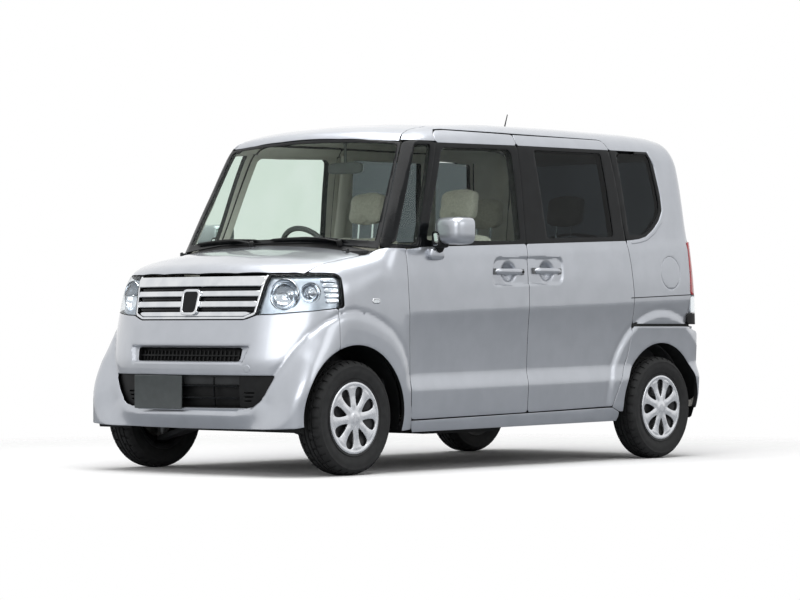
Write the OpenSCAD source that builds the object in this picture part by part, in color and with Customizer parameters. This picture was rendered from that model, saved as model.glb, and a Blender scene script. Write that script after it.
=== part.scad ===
/* [Overall] */
// Overall length over the bumpers
car_l = 3395; // [3200:5:4100]
// Overall width over the body sides, without the mirrors
car_w = 1475; // [1400:5:1780]
// Height of the roof above the ground
roof_h = 1800; // [1700:5:2160]
// Distance between the front and rear axles
wheelbase = 2520; // [2100:5:3024]
// From the front of the bumper to the front axle
front_overhang = 460; // [400:5:560]
// Distance between the middles of the left and right tyres
track = 1305; // [1200:5:1420]

/* [Body] */
// Height of the sill's underside
sill_z = 190; // [160:5:230]
// Height of the belt line at the windscreen
belt_z = 1112; // [1000:5:1150]
// Rise of the belt line from the windscreen to the tailgate
belt_rise = 85; // [40:5:120]
// Height of the bonnet's rear edge
cowl_z = 1128; // [1060:2:1160]
// Thickness of the body side's walls
wall = 60; // [50:1:70]
// Depth of the pillars and rails behind the walls
rail_depth = 40; // [30:1:50]
// Thickness of the roof with its lining
roof_t = 30; // [20:1:40]
// Thickness of the bumpers' skins
bumper_t = 35; // [20:1:45]
// Thickness of the front wings
fender_t = 22; // [15:1:30]
// Gap between fixed panels
seam = 0.5; // [0.3:0.1:1]
// Radius of the wheel arches
arch_r = 352; // [335:1:370]

/* [Doors and lids] */
// Thickness of the front doors
door_t = 54; // [40:1:56]
// Thickness of a door's outer skin
skin_t = 5; // [3:0.5:8]
// Gap round doors and lids
shut = 8; // [7:0.5:12]
// Place of the joint between the front and sliding doors, behind the middle of the wheelbase
b_seam = 84; // [40:2:140]
// Distance from a front door's front edge back to its hinge line
hinge_back = 70; // [60:1:80]
// Distance from a front door's outer face in to its hinge line
hinge_in = 19; // [17:0.5:22]
// Radius of the door hinge pins
pin_r = 4.5; // [4:0.25:5]
// Running clearance of every pin and spindle, on the radius
run = 0.05; // [0.02:0.01:0.1]
// Thickness of the tailgate
tailgate_t = 50; // [40:1:60]
// Thickness of the bonnet
bonnet_t = 12; // [8:1:14]
// Radius of the fuel filler's lid
lid_r = 90; // [70:1:100]
// Thickness of the windows
glass_t = 5; // [3:0.5:7]

/* [Wheels] */
// Outer diameter of the tyres
tyre_d = 557; // [530:1:590]
// Width of the tyres
tyre_w = 155; // [145:1:170]
// Diameter of the rims at the tyre's seat
rim_d = 356; // [340:1:370]
// Radius of the wheel spindles
spindle_r = 24; // [20:1:28]
// Distance from the middle of the tyre in to the steering axis
kingpin_in = 52; // [45:1:60]

/* [Cabin] */
// Height of the floor under the front seats
floor_z = 320; // [280:5:360]
// Height of the load floor
load_z = 450; // [400:5:500]
// Diameter of the steering wheel
steer_d = 370; // [350:5:390]
// Tilt of the steering wheel's axis above level
steer_tilt = 28; // [20:1:35]
// Sideways place of a front seat's middle
seat_x = 330; // [300:5:350]

/* [Hidden] */
$fn = 32;

// Driving places, all from the sizes above. Front is -Y and the car's left is +X.
hw = car_w / 2;
yf = -car_l / 2;
yr = car_l / 2;
front_y = yf + front_overhang;
rear_y = front_y + wheelbase;
axle_z = tyre_d / 2;
wheel_x = track / 2;
king_x = wheel_x - kingpin_in;
b_y = (front_y + rear_y) / 2 + b_seam;
silver = [0.78, 0.8, 0.82];
dark = [0.13, 0.13, 0.14];
clear = [0.6, 0.75, 0.72, 0.4];
far = 900;

// Front end: the grille, the bonnet's lip, the cowl and the windscreen's top
lip_z = 978;
grille_z = 758;
cowl_y = front_y + 157;
screen_top_y = front_y + 447;
screen_top_z = roof_h - 132;

// Front door: its front edge at the belt, and its hinge line
door_y = front_y + 377;
door_foot = 50;
b_gap = shut + 2.5;
door_low = sill_z + 72;
door_high = roof_h - 80;
hinge_x = hw - hinge_in;
hinge_y = door_y + hinge_back;
hinge_zs = [430, 930];
hinge_h = 30;
arm_h = 12;
knuckle_r = 7;
arm_t = 10;
arm_reach = 82;
pillar_x = hinge_x - arm_reach;
pillar_w = 50;

// Tailgate: its edge on the roof, its hinge line and its sides
gate_y = yr - 270;
gate_axis_y = gate_y + 45;
gate_axis_z = roof_h - 34;
gate_gap = shut + 2;
gate_low = 720;
// Where the rear bumper meets the body side behind the wheel arch
bumper_side = rear_y + arch_r - 60;
gate_hw = hw - 128;
gate_top_hw = hw - 175;
gate_hinge_x = 430;
gate_drop = 62;
// Where the roof panel meets the body side
roof_x = hw - 178;

// Bonnet: its rear edge and its hinge line
bonnet_y = cowl_y - 20;
bonnet_axis_y = bonnet_y - 25;
bonnet_axis_z = cowl_z - 34;
bonnet_pin_x = 540;
bonnet_pin_r = 4;

// Fuel lid
lid_y = rear_y + 82;
lid_z = 1017;
lid_t = 2.5;
lid_gap = 7;
lid_pin_r = 2.5;
lid_axis_x = hw - 18.2;
lid_axis_y = lid_y - lid_r - 17;
lid_arm_h = 14;
pocket_depth = 46;

// Steering wheel
steer_y = door_y + 430;
steer_z = 1087;

// ---------- Outlines. Side views are [y, z], front views [x, z], plans [x, y].

// Height of the belt line at a place along the car
function belt(y) = belt_z + belt_rise * (y - cowl_y) / (yr - cowl_y);
// The same points on the other side, in the other order
function mirrored(p) = [for (i = [len(p) - 1 : -1 : 0]) [-p[i][0], p[i][1]]];
function both(p) = concat(p, mirrored(p));

// The car's outline from the side
function profile(low) = [[yf + 60, low], [yf + 60, 225], [yf + 8, 300], [yf, 400],
    [yf, 580], [yf + 30, 690], [yf + 62, 830], [yf + 98, lip_z],
    [yf + 150, 1004], [yf + 300, 1064], [cowl_y, cowl_z],
    [screen_top_y, screen_top_z], [screen_top_y + 50, roof_h - 88],
    [screen_top_y + 300, roof_h - 38], [screen_top_y + 800, roof_h - 8],
    [(screen_top_y + yr) / 2 + 250, roof_h], [yr - 350, roof_h - 3],
    [yr - 190, roof_h - 24], [yr - 142, roof_h - 62], [yr - 118, roof_h - 160],
    [yr - 62, 1200], [yr - 36, 900], [yr - 28, 730], [yr, 690], [yr, 340],
    [yr - 45, 265], [yr - 45, low]];
// Half of the car's outline from the front
function section(low) = [[hw - 32, low], [hw - 32, sill_z], [hw - 15, sill_z + 70],
    [hw - 3, 480], [hw, 760], [hw - 3, 980], [hw - 15, 1120], [hw - 48, 1400],
    [hw - 82, roof_h - 160], [hw - 112, roof_h - 82], [hw - 175, roof_h - 36],
    [hw - 320, roof_h - 12], [60, roof_h]];
// Half of the car's outline from above
plan = [[60, yf], [hw - 487, yf + 8], [hw - 307, yf + 42], [hw - 177, yf + 100],
    [hw - 87, yf + 175], [hw - 27, yf + 265], [hw, yf + 370], [hw, yr - 150],
    [hw - 24, yr - 68], [hw - 75, yr - 18], [hw - 160, yr], [60, yr]];

front_door_pts = [[door_y + door_foot, door_low], [door_y + 22, 700],
    [door_y, belt_z - 10], [door_y + 104, belt_z], [door_y + 317, roof_h - 153],
    [door_y + 430, roof_h - 100], [door_y + 660, door_high - 3],
    [b_y - b_gap, door_high], [b_y - b_gap, door_low + 17]];
front_window_pts = [[door_y + 168, belt_z + 20], [door_y + 360, roof_h - 178],
    [b_y - 57, roof_h - 161], [b_y - 40, belt(b_y) + 17]];
slide_pts = [[b_y, door_low + 17], [b_y, door_high], [rear_y - 391, door_high + 8],
    [rear_y - 301, belt(rear_y - 301)], [rear_y - 259, 889], [rear_y - 273, 690],
    [rear_y - 316, 560], [rear_y - 385, 430], [rear_y - 450, door_low + 28]];
slide_window_pts = [[b_y + 178, belt(b_y + 178) + 20], [b_y + 137, roof_h - 156],
    [rear_y - 456, roof_h - 145], [rear_y - 406, belt(rear_y - 406) + 20]];
fixed_front_pts = [[cowl_y + 110, belt_z + 18], [screen_top_y + 55, roof_h - 190],
    [door_y + 268, roof_h - 190], [door_y + 78, belt_z + 18]];
fixed_rear_pts = [[rear_y - 252, belt(rear_y - 252) + 14],
    [rear_y - 335, roof_h - 138], [rear_y - 40, roof_h - 125],
    [rear_y + 52, 1345], [rear_y - 190, belt(rear_y - 190) + 10]];

// ---------- Making shapes

module extrude_x(x0, x1) translate([x0, 0, 0]) rotate([90, 0, 90]) linear_extrude(x1 - x0) children();
module extrude_y(y0, y1) translate([0, y1, 0]) rotate([90, 0, 0]) linear_extrude(y1 - y0) children();
module box(low, high) translate(low) cube(high - low);
module rod_x(x0, x1, y, z, r) translate([x0, y, z]) rotate([0, 90, 0]) cylinder(r = r, h = x1 - x0);
module rod_z(x, y, z0, z1, r) translate([x, y, z0]) cylinder(r = r, h = z1 - z0);
module other_side() mirror([1, 0, 0]) children();
module both_sides() {
    children();
    other_side() children();
}

// The whole car's outer form, shrunk by inset, down to the height low
module form(inset, low = sill_z) intersection() {
    extrude_x(-far, far) offset(delta = -inset) polygon(profile(low));
    extrude_y(yf - 50, yr + 50) offset(delta = -inset) polygon(both(section(low)));
    translate([0, 0, -far]) linear_extrude(4 * far) offset(delta = -inset) polygon(both(plan));
}
// A wall that lies between two depths under the outer form
module shell(outer, inner) difference() {
    form(outer);
    form(inner, -400);
}
// What a side view keeps of the car's left half
module left_of(pts, grow = 0) extrude_x(350, far) offset(delta = grow) polygon(pts);
module arch(y, grow = 0) rod_x(king_x - 210, far, y, axle_z, arch_r + grow);

// ---------- Structure

floor_x = hw - 118;
toe_y = door_y + 70;
step_y = door_y + 390;
kick_y = rear_y - 330;
floor_t = 20;
foot_z = floor_z - 70;
// One bent sheet in four parts that meet seam apart: toe board, footwell, floor and load floor
module floor_sheet(pts) color(dark) difference() {
    extrude_x(seam - floor_x, floor_x - seam) polygon(pts);
    both_sides() rod_x(wheel_x - 128, far, rear_y, axle_z, arch_r);
}
module toe_board() floor_sheet([[door_y - 52 + seam, foot_z + 230], [toe_y, foot_z],
    [toe_y - 10, foot_z - floor_t], [door_y - 52 + seam, foot_z + 200]]);
module footwell_floor() floor_sheet([[toe_y + seam, foot_z], [step_y, foot_z],
    [step_y + 8, foot_z - floor_t], [toe_y - 10 + seam, foot_z - floor_t]]);
module floor_pan() floor_sheet([[step_y + seam, foot_z], [step_y + 50, floor_z], [kick_y, floor_z],
    [kick_y + 15, floor_z - floor_t], [step_y + 58, floor_z - floor_t], [step_y + 8 + seam, foot_z - floor_t]]);
module load_floor() {
    floor_sheet([[kick_y + seam, floor_z], [kick_y + 40, load_z], [yr - 100, load_z],
        [yr - 100, load_z - floor_t], [kick_y + 55, load_z - floor_t], [kick_y + 15 + seam, floor_z - floor_t]]);
    tie_eye(300, yr - 150, load_z - floor_t);
}
module rear_wheel_housings() color(dark) both_sides() difference() {
    intersection() {
        rod_x(wheel_x - 140, floor_x - seam, rear_y, axle_z, arch_r + 12);
        box([0, 0, load_z + seam], [far, yr, roof_h]);
    }
    rod_x(wheel_x - 128, far, rear_y, axle_z, arch_r);
}

apron_x = king_x - 200;
bulkhead_x = pillar_x - arm_t / 2 - seam;
eye_r = 14;
// A bracket with a level foot and an upright eye in it, for a strap or a tow hook
module tie_eye(x, y, top) difference() {
    union() {
        box([x - 40, y - 30, top - 50], [x - 30, y + 30, top + 1]);
        box([x - 40, y - 30, top - 50], [x + 30, y + 30, top - 40]);
    }
    rod_z(x, y, top - 51, top - 39, eye_r);
}
bulkhead_y = door_y - 68;
module bulkhead() color(dark) {
    box([-bulkhead_x, bulkhead_y, floor_z + seam], [bulkhead_x, door_y - 52, cowl_z - 38]);
    extrude_x(-bulkhead_x, bulkhead_x) polygon([[cowl_y + 6, cowl_z - 50], [cowl_y + 6, cowl_z - 36],
        [door_y - 52, cowl_z - 36], [door_y - 52, cowl_z - 50]]);
}
module front_structure() color(dark) {
    both_sides() tie_eye(apron_x - 30, yf + 215, 330);
    both_sides() {
        // Inner wing, chassis rail and strut tower
        box([apron_x - 12, yf + 160, 330], [apron_x, bulkhead_y - seam, 900]);
        box([apron_x - 70, yf + 160, 330], [apron_x, bulkhead_y - seam, 430]);
        box([apron_x - 5, front_y - 60, 720], [king_x - 20, front_y + 60, 760]);
        // Wing rail up to the bulkhead, with the bonnet's hinge bracket and pin
        box([apron_x - 5, lamp_back + 10, 880], [bulkhead_x, lamp_back + 50, 900]);
        box([bonnet_pin_x + 30, lamp_back + 10, 880], [bulkhead_x, bulkhead_y - seam, 900]);
        box([bonnet_pin_x + 30, bonnet_axis_y - 14, 890],
            [bonnet_pin_x + 38, bonnet_axis_y + 14, bonnet_axis_z - 20]);
        extrude_x(bonnet_pin_x + 30, bonnet_pin_x + 38) translate([bonnet_axis_y, bonnet_axis_z]) {
            circle(r = 9);
            translate([-9, -24]) square([18, 24]);
        }
        rod_x(bonnet_pin_x, bonnet_pin_x + 34, bonnet_axis_y, bonnet_axis_z, bonnet_pin_r);
    }
    // Radiator support and bumper beam
    box([-apron_x, yf + 160, 330], [apron_x, yf + 176, 930]);
    intersection() {
        shell(bumper_t + seam, bumper_t + 130);
        box([-apron_x, yf, 440], [apron_x, yf + 170, 540]);
    }
}

module hinge_arms() for (z = hinge_zs) {
    rod_z(hinge_x, hinge_y, z - arm_h, z, knuckle_r);
    rod_z(hinge_x, hinge_y, z - arm_h, z + hinge_h + 3, pin_r);
    box([pillar_x - arm_t / 2, hinge_y - arm_t / 2, z - arm_h], [hinge_x, hinge_y + arm_t / 2, z]);
    box([pillar_x - arm_t / 2, door_y - 60, z - arm_h], [pillar_x + arm_t / 2, hinge_y, z]);
}

module lid_pocket() translate([hw, lid_y, lid_z]) rotate([0, -90, 0]) cylinder(r = lid_r + lid_gap, h = pocket_depth);

module body_side() {
    difference() {
        union() {
            // Walls of the upper body, the quarter and the sill
            difference() {
                intersection() {
                    shell(0, wall);
                    left_of([[cowl_y + 2, belt_z + 1], [cowl_y + 2, roof_h], [yr, roof_h], [yr, 722],
                        [bumper_side, 722], [bumper_side, sill_z],
                        [door_y + door_foot, sill_z], [door_y + door_foot, belt_z + 1]]);
                    // Clear of the roof panel, the tailgate and the windscreen
                    box([roof_x, yf, 0], [far, yr, roof_h]);
                }
                left_of(front_door_pts, shut);
                left_of(slide_pts, shut - 3);
                extrude_y(gate_y - 20, yr + 50) offset(delta = shut + 0.5) polygon(both(concat([[gate_hw, 0]], gate_pts)));
                extrude_y(yf, screen_top_y + 60) polygon([[0, 0], [hw - 74, cowl_z - 40],
                    [hw - 150, screen_top_z + 8], [0, roof_h]]);
                left_of(fixed_front_pts);
                left_of(fixed_rear_pts);
                tail_lamp_block(seam);
                lid_pocket();
                // Room for the lid's bent arm, under a thin skin
                intersection() {
                    form(3, -400);
                    box([hw - 48, lid_axis_y - 14, lid_z - 30], [hw, lid_y, lid_z + 30]);
                }
            }
            // Sill, roof rail, centre pillar and hinge pillar behind the doors
            intersection() {
                shell(wall, wall + rail_depth);
                union() {
                    left_of([[door_y - 60, sill_z], [rear_y - arch_r - 20, sill_z], [rear_y - arch_r - 20, floor_z],
                        [door_y - 60, floor_z]]);
                    left_of([[b_y - 45, sill_z], [b_y + 45, sill_z], [b_y + 45, roof_h], [b_y - 45, roof_h]]);
                    extrude_x(hw - 158, far) polygon([[screen_top_y + 60, roof_h - 150],
                        [screen_top_y + 60, roof_h], [yr - 290, roof_h], [yr - 290, roof_h - 150]]);
                }
            }
            intersection() {
                shell(0, wall + rail_depth);
                left_of([[door_y + door_foot, sill_z], [rear_y - arch_r - 20, sill_z], [rear_y - arch_r - 20, door_low - shut],
                    [door_y + door_foot, door_low - shut]]);
            }
            intersection() {
                shell(wall, wall + rail_depth);
                left_of([[door_y - 60, belt_z + 1], [door_y + 280, roof_h - 60],
                    [door_y + 380, roof_h - 60], [door_y + 60, belt_z + 1]]);
                left_of([[cowl_y, belt_z], [cowl_y, roof_h], [b_y, roof_h], [b_y, belt_z]]);
            }
            box([pillar_x - arm_t / 2, door_y - 60, sill_z], [pillar_x + pillar_w, door_y - shut, belt_z + 14]);
            hinge_arms();
            rod_z(lid_axis_x, lid_axis_y, lid_z - 31, lid_z + lid_arm_h + 2, lid_pin_r);
        }
        arch(rear_y);
        // Straight inner face where the floor meets the sill
        box([0, yf, 0], [floor_x, yr, floor_z + 1]);
        box([0, rear_y - 345, 0], [floor_x, yr, load_z + 1]);
    }
}
module left_body_side() color(silver) body_side();
module right_body_side() color(silver) other_side() body_side();

module roof_panel() color(silver) {
    difference() {
        intersection() {
            shell(0, roof_t);
            box([seam - roof_x, screen_top_y + 4, roof_h - 200], [roof_x - seam, gate_y - gate_gap, roof_h]);
        }
        extrude_x(-far, far) polygon([[screen_top_y - 100, 0], [screen_top_y - 100, screen_top_z],
            [screen_top_y + 24, screen_top_z], [screen_top_y + 40, screen_top_z - 80], [screen_top_y + 40, 0]]);
    }
    // Front and rear headers, and the tailgate's hinge arms
    header = roof_h - roof_t - 25;
    box([seam - roof_x, gate_y - gate_gap - 50, header - 35], [roof_x - seam, gate_y - gate_gap - 10, header + 20]);
    both_sides() {
        rod_x(gate_hinge_x, gate_hinge_x + 12, gate_axis_y, gate_axis_z, knuckle_r);
        rod_x(gate_hinge_x, gate_hinge_x + 45, gate_axis_y, gate_axis_z, pin_r);
        box([gate_hinge_x, gate_axis_y - 5, gate_axis_z - gate_drop], [gate_hinge_x + 12, gate_axis_y + 5, gate_axis_z]);
        box([gate_hinge_x, gate_y - gate_gap - 20, gate_axis_z - gate_drop],
            [gate_hinge_x + 12, gate_axis_y + 5, gate_axis_z - gate_drop + 10]);
    }
}

module windscreen() color(clear) intersection() {
    shell(2, 2 + glass_t);
    extrude_y(yf, screen_top_y + 3) polygon(both([[hw - 74 - seam, cowl_z - 44], [hw - 74 - seam, cowl_z - 40],
        [hw - 150 - seam, screen_top_z], [hw - 150 - seam, roof_h - 20]]));
    box([-far, cowl_y - 2, cowl_z - 30], [far, screen_top_y + 3, roof_h]);
}

// A window pane set into a wall, seam clear of its frame
module pane(pts) color(clear) intersection() {
    shell(4, 4 + glass_t);
    left_of(pts, -seam);
}
module side_windows() both_sides() {
    pane(fixed_front_pts);
    pane(fixed_rear_pts);
    pane(slide_window_pts);
}

module sliding_doors() color(silver) both_sides() difference() {
    union() {
        intersection() {
            shell(0, wall);
            left_of(slide_pts);
        }
    }
    left_of(slide_window_pts);
}

// ---------- Front end

lamp_in = 425;
lamp_low = 788;
lamp_back = front_y - 105;
fender_front = front_y - 122;
bonnet_plan = [[hw - 140, yf + 185], [hw - 100, yf + 345], [hw - 76, bonnet_y]];
module bonnet_prism(grow) translate([0, 0, lip_z - 4]) linear_extrude(400) offset(delta = grow)
    polygon(both(concat([[60, yf - 60], [hw - 150, yf - 60]], bonnet_plan)));

module bonnet() color(silver) {
    intersection() {
        shell(0, bonnet_t);
        bonnet_prism(0);
        box([-far, yf, lip_z + 5], [far, bonnet_y, cowl_z + 10]);
    }
    both_sides() difference() {
        union() {
            rod_x(bonnet_pin_x, bonnet_pin_x + 29.5, bonnet_axis_y, bonnet_axis_z, 8);
            box([bonnet_pin_x, bonnet_axis_y - 6, bonnet_axis_z], [bonnet_pin_x + 29.5, bonnet_axis_y + 6, cowl_z - 12]);
        }
        rod_x(bonnet_pin_x - 1, bonnet_pin_x + 31, bonnet_axis_y, bonnet_axis_z, bonnet_pin_r + run);
    }
}

fender_pts = [[fender_front + seam, axle_z], [fender_front + seam, lamp_low + 22],
    [lamp_back + seam, lamp_low + 22], [lamp_back + seam, lip_z], [yf + 180, lip_z],
    [yf + 180, 1200], [door_y + door_foot - seam, 1200], [door_y + door_foot - seam, sill_z]];
module front_fenders() color(silver) both_sides() difference() {
    intersection() {
        shell(0, fender_t);
        left_of(fender_pts);
        box([0, yf, sill_z + 22], [far, 0, belt_z]);
    }
    bonnet_prism(6);
    arch(front_y);
    left_of(front_door_pts, shut + 0.6);
    box([0, bonnet_y - 1, lip_z + 60], [hw - 70, 0, roof_h]);
    box([0, door_y + 20 - shut, belt_z - 40], [far, 0, roof_h]);
}

// Front view of the left headlamp
module lamp_shape(grow) extrude_y(yf, lamp_back + grow) offset(delta = grow)
    polygon([[lamp_in, lamp_low], [hw - 60, lamp_low + 22], [far, lamp_low + 22], [far, lip_z], [lamp_in + 18, lip_z]]);
module headlamps() color(clear) both_sides() intersection() {
    shell(2, 90);
    lamp_shape(-seam);
}

grille_pts = both([[352, grille_z], [lamp_in, lamp_low], [lamp_in + 18, lip_z]]);
intake_pts = both([[440, 345], [525, 480]]);
module grille() color(dark) {
    intersection() {
        shell(0, 45);
        extrude_y(yf, front_y) offset(delta = -seam) polygon(grille_pts);
    }
    intersection() {
        shell(18, bumper_t);
        extrude_y(yf, front_y) offset(delta = -seam) polygon(intake_pts);
    }
}

module front_bumper() color(silver) difference() {
    union() {
        intersection() {
            shell(0, bumper_t);
            extrude_x(-far, far) polygon([[yf - 10, sill_z + 30], [yf - 10, lamp_low + 22], [fender_front, lamp_low + 22],
                [fender_front, axle_z], [fender_front - 130, sill_z + 30]]);
        }
        // Bracket behind the plate, above the lower intake
        box([plate_x - 140, yf + 5, plate_screw_z - 20], [plate_x + 140, yf + 30, plate_screw_z + 30]);
    }
    plate_holes(plate_x, yf, plate_screw_z);
    both_sides() {
        arch(front_y);
        lamp_shape(0);
    }
    extrude_y(yf - 10, front_y) polygon(grille_pts);
    plate_block(seam);
    // Upper slot and lower intake
    extrude_y(yf - 10, front_y) polygon(both([[330, 550], [372, 585], [350, 620]]));
    extrude_y(yf - 10, front_y) polygon(intake_pts);
}

plate_w = 330;
plate_h = 165;
plate_x = -167;
plate_z = 400;
plate_t = 6;
plate_hole_gap = 210;
plate_hole_r = 3.5;
plate_screw_z = plate_z + 60;
rear_plate_z = 860;
module plate_block(grow) box([plate_x - plate_w / 2 - grow, yf + 1 - 3 * grow, plate_z - plate_h / 2 - grow],
    [plate_x + plate_w / 2 + grow, yf + 1 + plate_t + grow, plate_z + plate_h / 2 + grow]);
module plate_holes(x, y, z) for (side = [-1, 1]) translate([x + side * plate_hole_gap / 2, y + 25, z])
    rotate([90, 0, 0]) cylinder(r = plate_hole_r, h = 50);
module front_plate() color([0.2, 0.2, 0.2]) difference() {
    plate_block(0);
    plate_holes(plate_x, yf, plate_screw_z);
}

// ---------- Rear end

module tail_lamp_block(grow) intersection() {
    extrude_y(yr - 145 - grow, yr + 50) offset(delta = grow)
        polygon([[gate_hw + shut + 1, 795], [far, 795], [far, 1188], [gate_hw + shut + 1, 1188]]);
    form(-1);
}
module tail_lamps() color([0.6, 0.1, 0.1]) both_sides() intersection() {
    shell(0, wall - 2);
    tail_lamp_block(0);
}

module rear_bumper() color(silver) difference() {
    intersection() {
        shell(0, bumper_t + 10);
        extrude_x(-far, far) polygon([[bumper_side + seam, 240], [bumper_side + seam, 722 - seam],
            [yr + 10, 722 - seam], [yr + 10, 240]]);
    }
    both_sides() arch(rear_y);
    extrude_y(yr - 200, yr + 50) polygon(both([[gate_hw + shut, gate_low - shut], [gate_hw + shut, roof_h]]));
}

module tailgate_window_shape(grow) extrude_y(rear_y, yr + 50) offset(delta = grow)
    polygon(both([[gate_hw - 60, 1190], [gate_hw - 62, 1300], [gate_top_hw - 60, roof_h - 130]]));
gate_pts = [[gate_hw, gate_low], [gate_hw, 1250], [gate_top_hw, 1480], [gate_top_hw, roof_h + 20]];
module gate_prism() extrude_y(gate_y, yr + 50) polygon(both(gate_pts));
module tailgate() color(silver) {
    difference() {
        intersection() {
            shell(0, tailgate_t);
            gate_prism();
        }
        intersection() {
            form(5, -400);
            box([-far, gate_y - 1, roof_h - 200], [far, gate_axis_y + 15, roof_h]);
        }
        tailgate_window_shape(0);
        plate_holes(0, yr - 40, rear_plate_z);
    }
    both_sides() difference() {
        union() {
            rod_x(gate_hinge_x + 12.3, gate_hinge_x + 43, gate_axis_y, gate_axis_z, knuckle_r);
            box([gate_hinge_x + 12.3, gate_axis_y, gate_axis_z - 4], [gate_hinge_x + 43, gate_axis_y + 22, gate_axis_z + 4]);
        }
        rod_x(gate_hinge_x, gate_hinge_x + 60, gate_axis_y, gate_axis_z, pin_r + run);
    }
}
module tailgate_window() color(clear) intersection() {
    shell(4, 4 + glass_t);
    tailgate_window_shape(-seam);
}

// ---------- Front doors

module front_door() {
    difference() {
        intersection() {
            shell(0, door_t);
            left_of(front_door_pts);
        }
        // Thin lip ahead of the hinges, and a stepped rear edge
        intersection() {
            form(skin_t, -400);
            box([0, door_y - 50, 0], [far, hinge_y + 14, belt_z - 6]);
        }
        intersection() {
            form(20, -400);
            box([0, b_y - b_gap - 15, 0], [far, b_y, roof_h]);
        }
        left_of(front_window_pts);
    }
    for (z = hinge_zs) difference() {
        union() {
            rod_z(hinge_x, hinge_y, z + 0.3, z + hinge_h, knuckle_r);
            box([hinge_x - 4, hinge_y, z + 0.3], [hinge_x + 4, hinge_y + 20, z + hinge_h]);
        }
        rod_z(hinge_x, hinge_y, z - 1, z + hinge_h + 1, pin_r + run);
    }
}
module left_front_door() color(silver) front_door();
module right_front_door() color(silver) other_side() front_door();
module left_front_window() pane(front_window_pts);
module right_front_window() other_side() pane(front_window_pts);

mirror_y = door_y + 215;
mirror_z = belt_z + 92;
module door_mirror() {
    intersection() {
        translate([hw + 116, mirror_y, mirror_z]) scale(1) hull() {
            translate([-60, 0, 0]) cube([40, 70, 116], center = true);
            translate([40, 14, 0]) cube([60, 60, 96], center = true);
            translate([10, -24, 0]) cube([120, 30, 70], center = true);
        }
        box([hw, -far * 2, 0], [far * 2, far, roof_h]);
    }
    // Foot on the door's belt
    difference() {
        box([hw - 30, mirror_y - 34, belt_z - 60], [hw + 66, mirror_y + 20, belt_z + 46]);
        form(-seam, -400);
    }
}
module left_door_mirror() color(silver) door_mirror();
module right_door_mirror() color(silver) other_side() door_mirror();

module fuel_lid() color(silver) {
    intersection() {
        shell(0, lid_t);
        rod_x(600, far, lid_y, lid_z, lid_r);
    }
    // Bent arm from the pin, round the pocket's rim to the lid's back
    translate([lid_axis_x, lid_axis_y, lid_z]) difference() {
        union() {
            rod_z(0, 0, -lid_arm_h, lid_arm_h, 5);
            box([-18, -3, -lid_arm_h], [0, 3, lid_arm_h]);
            box([-21, -3, -lid_arm_h], [-15, 31, lid_arm_h]);
            intersection() {
                box([-21, 25, -lid_arm_h], [40, 31, lid_arm_h]);
                translate([-lid_axis_x, -lid_axis_y, -lid_z]) form(lid_t - 1, -400);
            }
        }
        rod_z(0, 0, -lid_arm_h - 1, lid_arm_h + 1, lid_pin_r + run);
    }
}

// ---------- Small fixed pieces

// Each blade lies on the glass and its pivot stands on the cowl
module wipers() color(dark) {
    lean = (screen_top_y - cowl_y) / (screen_top_z - cowl_z);
    for (x = [-330, 270]) extrude_x(x - 290, x + 290)
        polygon([[cowl_y + 24 * lean + 1.8, cowl_z + 24], [cowl_y + 50 * lean + 1.8, cowl_z + 50],
            [cowl_y + 50 * lean - 13, cowl_z + 56], [cowl_y + 24 * lean - 13, cowl_z + 30]]);
}

antenna_y = 800;
module antenna() color(dark) translate([0, antenna_y, roof_h]) {
    rotate([-22, 0, 0]) translate([0, 0, 4]) cylinder(r = 4, h = 100);
    cylinder(r = 18, h = 16);
}

module interior_mirror() color(dark) {
    box([-118, screen_top_y + 275, 1510], [118, screen_top_y + 305, 1572]);
    intersection() {
        box([-12, screen_top_y + 285, 1570], [12, screen_top_y + 300, roof_h]);
        form(roof_t + seam, -400);
    }
}

// ---------- Cabin

module dashboard() color([0.75, 0.72, 0.66]) {
    difference() {
        extrude_x(-floor_x + 6, floor_x - 6) polygon([[door_y - 52 + seam, 560], [door_y - 52 + seam, 1050],
            [door_y + 100, 1075], [door_y + 260, 1040], [door_y + 290, 900], [door_y + 210, 780], [door_y + 60, 640]]);
        for (side = [-1, 1]) translate([side * (floor_x - 10), hinge_y, 500]) cube([44, 160, 1200], center = true);
    }
    // Steering column
    translate([-seat_x, steer_y, steer_z]) rotate([90 + steer_tilt, 0, 0]) {
        translate([0, 0, 30]) cylinder(r = 30, h = 230);
        translate([0, 0, 8]) cylinder(r = 10, h = 40);
    }
}

module steering_wheel() color(dark) translate([-seat_x, steer_y, steer_z]) rotate([steer_tilt - 90, 0, 0]) {
    rotate_extrude() translate([steer_d / 2 - 15, 0]) circle(r = 15);
    difference() {
        translate([0, 0, -28]) cylinder(r = 80, h = 40);
        translate([0, 0, -29]) cylinder(r = 10 + run, h = 24);
    }
    for (a = [0, 90, 180]) rotate([0, 0, a]) translate([60, -18, -8]) cube([steer_d / 2 - 75, 36, 16]);
}

module seat_shape(w) {
    extrude_x(-w / 2, w / 2) polygon([[-235, 170], [-240, 280], [-200, 320], [130, 300], [150, 330],
        [250, 890], [290, 905], [325, 880], [285, 560], [258, 190], [200, 165]]);
    // Headrest
    extrude_x(-130, 130) polygon([[240, 935], [232, 1090], [270, 1130], [325, 1115], [335, 935]]);
    for (x = [-50, 50]) rod_z(x, 288, 880, 950, 7);
    // Runner frame
    box([-w / 2 + 60, -180, 0], [w / 2 - 60, 180, 180]);
}
module front_seats() color([0.5, 0.48, 0.45]) for (side = [-1, 1])
    translate([side * (seat_x - 10), door_y + 565, floor_z + seam]) rotate([0, 0, 0]) seat_shape(540);

rear_seat_y = rear_y - 620;
module rear_seats() color([0.5, 0.48, 0.45]) for (side = [-1, 1])
    translate([side * 285, rear_seat_y, floor_z + seam]) {
        seat_shape(540);
    }

// ---------- Engine and underbody

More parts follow.
